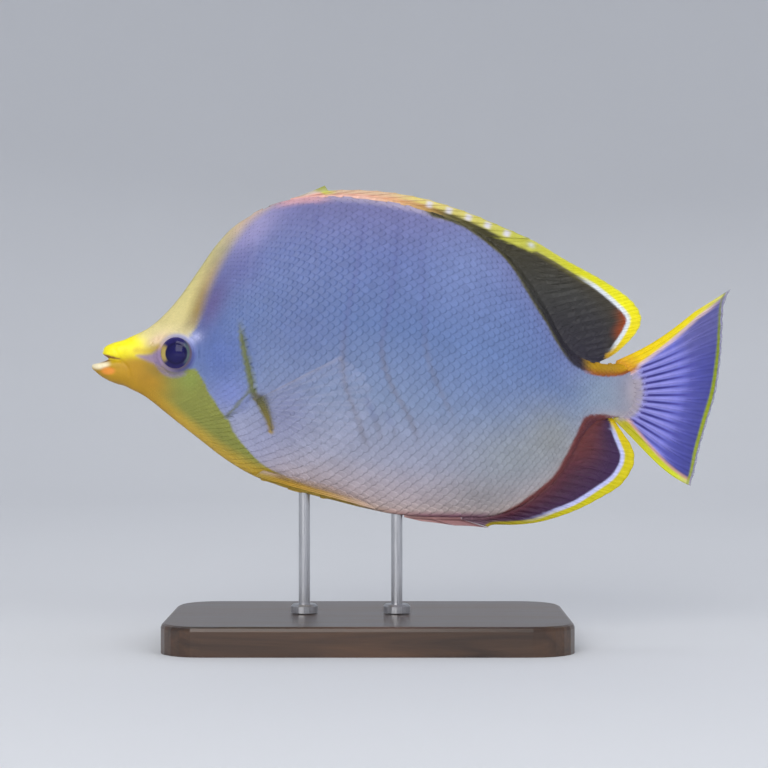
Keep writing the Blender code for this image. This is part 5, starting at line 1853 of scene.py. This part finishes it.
def mottle_group():
    """Uneven tone and pores, at sizes given per metre."""
    tree, given, out = new_group(
        "mottle",
        [("Color", "NodeSocketColor", None), ("Patches", "NodeSocketFloat", 220.0),
         ("Pores", "NodeSocketFloat", 3000.0), ("Amount", "NodeSocketFloat", 0.1)],
        [("Color", "NodeSocketColor"), ("Height", "NodeSocketFloat"), ("Mask", "NodeSocketFloat")])
    where = node(tree, "ShaderNodeTexCoord").outputs["Object"]
    patches = node(tree, "ShaderNodeTexNoise", {"Detail": 4.0, "Roughness": 0.6})
    pores = node(tree, "ShaderNodeTexNoise", {"Detail": 2.0, "Roughness": 0.5})
    for texture, label in ((patches, "Patches"), (pores, "Pores")):
        tree.links.new(where, texture.inputs["Vector"])
        tree.links.new(given[label], texture.inputs["Scale"])
    swing = times(tree, sums(tree, "SUBTRACT", patches.outputs["Fac"], 0.5), given["Amount"])
    fine = times(tree, sums(tree, "SUBTRACT", pores.outputs["Fac"], 0.5), given["Amount"])
    factor = sums(tree, "ADD", 1.0, sums(tree, "ADD", times(tree, swing, 2.0), fine))
    tree.links.new(tinted(tree, given["Color"], factor), out["Color"])
    tree.links.new(pores.outputs["Fac"], out["Height"])
    tree.links.new(patches.outputs["Fac"], out["Mask"])
    return tree


def ring_group():
    """Growth rings round a scale's root and grooves that fan out from it."""
    tree, given, out = new_group(
        "growth_rings", [("Place", "NodeSocketVector", None), ("Rings", "NodeSocketFloat", 14.0)],
        [("Height", "NodeSocketFloat"), ("Rim", "NodeSocketFloat"), ("Tint", "NodeSocketFloat")])
    split = node(tree, "ShaderNodeSeparateXYZ")
    tree.links.new(given["Place"], split.inputs[0])
    a, b, own = split.outputs
    b_squared = times(tree, b, b)
    far = sums(tree, "ADD", times(tree, a, a), times(tree, b_squared, 0.35))
    far = sums(tree, "SQRT", far)
    turns = times(tree, far, given["Rings"])
    wave = sums(tree, "SINE", times(tree, turns, math.tau))
    angle = sums(tree, "ARCTAN2", b, sums(tree, "ADD", a, 0.25))
    fan = sums(tree, "SINE", times(tree, angle, 34.0))
    height = sums(tree, "ADD", times(tree, wave, 0.35), times(tree, fan, 0.22))
    tree.links.new(height, out["Height"])
    tree.links.new(far, out["Rim"])
    tree.links.new(own, out["Tint"])
    return tree


def ray_group():
    """The joints across a fin ray, and how clear the membrane is there."""
    tree, given, out = new_group(
        "ray_joints", [("Place", "NodeSocketVector", None), ("Spacing", "NodeSocketFloat", 0.55)],
        [("Height", "NodeSocketFloat"), ("Crest", "NodeSocketFloat"), ("Clear", "NodeSocketFloat")])
    split = node(tree, "ShaderNodeSeparateXYZ")
    tree.links.new(given["Place"], split.inputs[0])
    crest, along, clear = split.outputs
    turns = times(tree, sums(tree, "DIVIDE", along, given["Spacing"]), math.tau)
    waves = sums(tree, "ABSOLUTE", sums(tree, "COSINE", turns))
    joints = times(tree, sums(tree, "POWER", waves, 6.0), crest)
    tree.links.new(times(tree, joints, -1.0), out["Height"])
    tree.links.new(crest, out["Crest"])
    tree.links.new(clear, out["Clear"])
    return tree


MOTTLE = mottle_group()
GROWTH_RINGS = ring_group()
RAY_JOINTS = ray_group()
print("node groups:", [group.name for group in bpy.data.node_groups])

# %% [markdown]
# Each material starts from one shader, and its own function adds the rest.

# %% Material helpers
def new_material(name, roughness, coat=0.0, coat_roughness=0.1, specular=0.5):
    """A material with its tree and its shader."""
    made = bpy.data.materials.new(name)
    made.use_nodes = True
    tree = made.node_tree
    shader = tree.nodes["Principled BSDF"]
    for key, value in (("Roughness", roughness), ("Coat Weight", coat),
                       ("Coat Roughness", coat_roughness), ("Specular IOR Level", specular)):
        shader.inputs[key].default_value = value
    return made, tree, shader


def use_group(tree, group, **links):
    """A group in a material; each keyword is a socket name with a link or a value."""
    made = tree.nodes.new("ShaderNodeGroup")
    made.node_tree = group
    for key, value in links.items():
        if isinstance(value, (int, float)):
            made.inputs[key].default_value = value
        else:
            tree.links.new(value, made.inputs[key])
    return made


def attribute(tree, name, output="Vector"):
    return node(tree, "ShaderNodeAttribute", attribute_name=name).outputs[output]


def stretched(tree, scale, **settings):
    """A noise drawn out along a solid, like wood grain or brush marks."""
    stretch = node(tree, "ShaderNodeMapping", {"Scale": scale})
    tree.links.new(node(tree, "ShaderNodeTexCoord").outputs["Object"], stretch.inputs["Vector"])
    noise = node(tree, "ShaderNodeTexNoise", settings)
    tree.links.new(stretch.outputs["Vector"], noise.inputs["Vector"])
    return noise.outputs["Fac"]


def two_tones(tree, factor, low, high):
    """A ramp between two colours; low and high are each a place on it and a colour."""
    ramp = node(tree, "ShaderNodeValToRGB")
    for stop, (place, colour) in zip(ramp.color_ramp.elements, (low, high)):
        stop.position, stop.color = place, (*colour, 1)
    tree.links.new(factor, ramp.inputs["Fac"])
    return ramp.outputs["Color"]


def uneven_colour(tree, shader, patches, pores, amount, colour=None):
    """The points' colours, or another one, made a little uneven; gives the mottle's outputs."""
    colour = colour or attribute(tree, MARKS, "Color")
    mottle = use_group(tree, MOTTLE, Color=colour, Patches=patches, Pores=pores, Amount=amount)
    tree.links.new(mottle.outputs["Color"], shader.inputs["Base Color"])
    return mottle.outputs


def bump_into(tree, shader, height, distance, strength, before=None):
    """Small relief from a height, in metres of distance."""
    made = node(tree, "ShaderNodeBump", {"Distance": distance, "Strength": strength})
    tree.links.new(height, made.inputs["Height"])
    if before is not None:
        tree.links.new(before, made.inputs["Normal"])
    tree.links.new(made.outputs["Normal"], shader.inputs["Normal"])
    return made.outputs["Normal"]


def wear_into(tree, shader, mask, low, high):
    """Roughness that follows a mask between two values."""
    spread = node(tree, "ShaderNodeMapRange", {"To Min": low, "To Max": high})
    tree.links.new(mask, spread.inputs["Value"])
    tree.links.new(spread.outputs["Result"], shader.inputs["Roughness"])


def dress(piece, material):
    piece.data.materials.clear()
    piece.data.materials.append(material)


print("material helpers are ready")

# %% [markdown]
# ### Skin, scales, fins and eyes
# A scale is a little glossier than the skin, and its growth rings only show close up. A fin's
# membrane lets some light through where the meshes say so. All four start from the colours that the
# meshes hold, made a little uneven.

# %% Fish materials
def skin_material():
    made, tree, shader = new_material("fish_skin", 0.42, 0.07, 0.25, 0.36)
    mottle = uneven_colour(tree, shader, 420, 4200, 0.16)
    wear_into(tree, shader, mottle["Mask"], 0.34, 0.52)
    bump_into(tree, shader, mottle["Height"], 0.00006, 0.6)
    return made


def scale_material():
    made, tree, shader = new_material("fish_scales", 0.4, 0.09, 0.2, 0.36)
    mottle = uneven_colour(tree, shader, 260, 5200, 0.14)
    rings = use_group(tree, GROWTH_RINGS, Place=attribute(tree, "scale_place"), Rings=9.0)
    wear_into(tree, shader, rings.outputs["Tint"], 0.36, 0.5)
    pores = bump_into(tree, shader, mottle["Height"], 0.00003, 0.5)
    bump_into(tree, shader, rings.outputs["Height"], 0.000025, 0.5, pores)
    return made


def fin_material():
    made, tree, shader = new_material("fin_membrane", 0.38, 0.06, 0.2, 0.3)
    mottle = uneven_colour(tree, shader, 500, 4800, 0.18)
    joints = use_group(tree, RAY_JOINTS, Place=attribute(tree, "fin_place"), Spacing=0.62)
    tree.links.new(joints.outputs["Clear"], shader.inputs["Alpha"])
    wear_into(tree, shader, joints.outputs["Crest"], 0.44, 0.3)
    pores = bump_into(tree, shader, mottle["Height"], 0.00004, 0.5)
    bump_into(tree, shader, joints.outputs["Height"], 0.00006, 0.5, pores)
    return made


def eye_material():
    made, tree, shader = new_material("eye_varnish", 0.7, 0.5, 0.05, specular=0.12)
    mottle = uneven_colour(tree, shader, 1100, 5000, 0.22)
    wear_into(tree, shader, mottle["Mask"], 0.62, 0.75)
    bump_into(tree, shader, mottle["Height"], 0.00001, 0.3)
    return made


SCALES = scale_material()
FIN = fin_material()
EYE = eye_material()
dress(skin, skin_material())
for piece in coat:
    dress(piece, SCALES)
for piece in fins:
    dress(piece, FIN)
for ball in eyes:
    dress(ball, EYE)
print("fish materials:", [material.name for material in bpy.data.materials][-5:])

# %% [markdown]
# ### The stand
# The base is dark hardwood under a satin lacquer, with the grain along its length. The two rods are
# brushed steel. Both keep their solids and only get finishes.

# %% Stand materials
def wood_material():
    made, tree, shader = new_material("base_wood", 0.36, 0.35, 0.18)
    along = (6, 90, 90)
    grain = stretched(tree, along, Scale=2.2, Detail=8.0, Roughness=0.62, Distortion=0.8)
    lines = stretched(tree, along, Scale=14.0, Detail=3.0, Roughness=0.6)
    colour = two_tones(tree, grain, (0.32, (0.022, 0.011, 0.006)), (0.68, (0.085, 0.041, 0.02)))
    factor = sums(tree, "ADD", 0.78, times(tree, lines, 0.44))
    tree.links.new(tinted(tree, colour, factor), shader.inputs["Base Color"])
    wear_into(tree, shader, grain, 0.28, 0.46)
    bump_into(tree, shader, lines, 0.00012, 0.4)
    return made


def steel_material():
    made, tree, shader = new_material("rod_steel", 0.3)
    shader.inputs["Metallic"].default_value = 1.0
    brush = stretched(tree, (900, 900, 30), Scale=4.0, Detail=4.0, Roughness=0.7)
    colour = two_tones(tree, brush, (0.3, (0.44, 0.44, 0.46)), (0.7, (0.64, 0.64, 0.66)))
    tree.links.new(colour, shader.inputs["Base Color"])
    wear_into(tree, shader, brush, 0.22, 0.4)
    bump_into(tree, shader, brush, 0.00002, 0.5)
    return made


def finish_node(name, material):
    """Gives a carried-over solid its finish in each of its material slots."""
    solid = frame["nodes"][name]
    for place in solid.material_slots:
        place.link = "OBJECT"
        place.material = material
    if not solid.material_slots:
        solid.data.materials.append(material)


WOOD = wood_material()
STEEL = steel_material()
finish_node("stand_base", WOOD)
finish_node("stand_rod_front", STEEL)
finish_node("stand_rod_rear", STEEL)
print("stand finished in", WOOD.name, "and", STEEL.name)

# %% [markdown]
# ## Floor and light
# A pale floor curves up into a pale wall all round, so the fish stands before the same quiet ground
# from every side. A large soft lamp at the upper left front is the key. Weaker ones stand at the
# right, low in front, above and behind, for soft shadows and for the back and the fins' edges.

# %% Pale sweep
FLOOR_RADIUS = 0.75
SWEEP_RADIUS = 1.0
WALL_HEIGHT = 2.2
FLOOR_SIDES = 96


def sweep_floor():
    """A round floor that curves up into a wall."""
    turns = np.radians(np.linspace(0, 90, 31))
    profile_line = [(0.01, 0), (0.3, 0), (0.6, 0)]
    profile_line += [
        (FLOOR_RADIUS + SWEEP_RADIUS * math.sin(t), SWEEP_RADIUS * (1 - math.cos(t))) for t in turns]
    profile_line.append((FLOOR_RADIUS + SWEEP_RADIUS, WALL_HEIGHT))
    points = [
        (r * math.cos(a), r * math.sin(a), z) for r, z in profile_line for a in full_turn(FLOOR_SIDES)]
    middle = tuple(range(FLOOR_SIDES))
    mesh = new_mesh("pale_sweep", points, ring_quads(len(profile_line), FLOOR_SIDES) + [middle])
    mesh.shade_smooth()
    return new_object("pale_sweep", mesh)


def paper_material():
    made, tree, shader = new_material("sweep_paper", 0.85)
    paper = node(tree, "ShaderNodeRGB")
    paper.outputs[0].default_value = (0.74, 0.75, 0.77, 1)
    mottle = uneven_colour(tree, shader, 3, 900, 0.02, paper.outputs[0])
    bump_into(tree, shader, mottle["Height"], 0.00005, 0.3)
    return made


floor = sweep_floor()
dress(floor, paper_material())
print("floor radius:", FLOOR_RADIUS, "m")

# %% [markdown]
# Each lamp is a wide soft square that looks at the middle of the fish. Only the key shows as a
# glint, so that an eye has one highlight.

# %% Lamps
LAMPS = [
    ("key", (-0.30, -1, 0.60), 0.7, 5.2, (1, 0.99, 0.97), True),
    ("fill", (0.75, -0.85, 0.50), 0.7, 3.2, (0.95, 0.97, 1), False),
    ("low", (-0.15, -0.95, 0.26), 0.4, 1.6, (1, 0.99, 0.98), False),
    ("over", (0.05, 0.15, 1.1), 0.7, 1.8, (1, 1, 1), False),
    ("behind", (0.1, 1, 0.8), 0.7, 1.4, (0.97, 0.98, 1), False),
]
FISH_MIDDLE = Vector((0, 0, 0.075))


def add_lamp(name, place, size, power, colour, glints):
    data = bpy.data.lights.new(name, "AREA")
    data.shape = "SQUARE"
    data.size = size
    data.energy = power
    data.color = colour
    lamp = new_object(name, data)
    lamp.location = place
    lamp.rotation_euler = (FISH_MIDDLE - Vector(place)).to_track_quat("-Z", "Y").to_euler()
    lamp.visible_camera = False
    lamp.visible_glossy = glints


def pale_world(strength):
    world = bpy.data.worlds.new("pale_room")
    world.use_nodes = True
    sky = world.node_tree.nodes["Background"]
    sky.inputs["Color"].default_value = (0.86, 0.9, 1, 1)
    sky.inputs["Strength"].default_value = strength
    bpy.context.scene.world = world


for lamp in LAMPS:
    add_lamp(*lamp)
pale_world(0.55)
bpy.context.scene.view_settings.view_transform = "Standard"
print("lamps:", [lamp[0] for lamp in LAMPS])
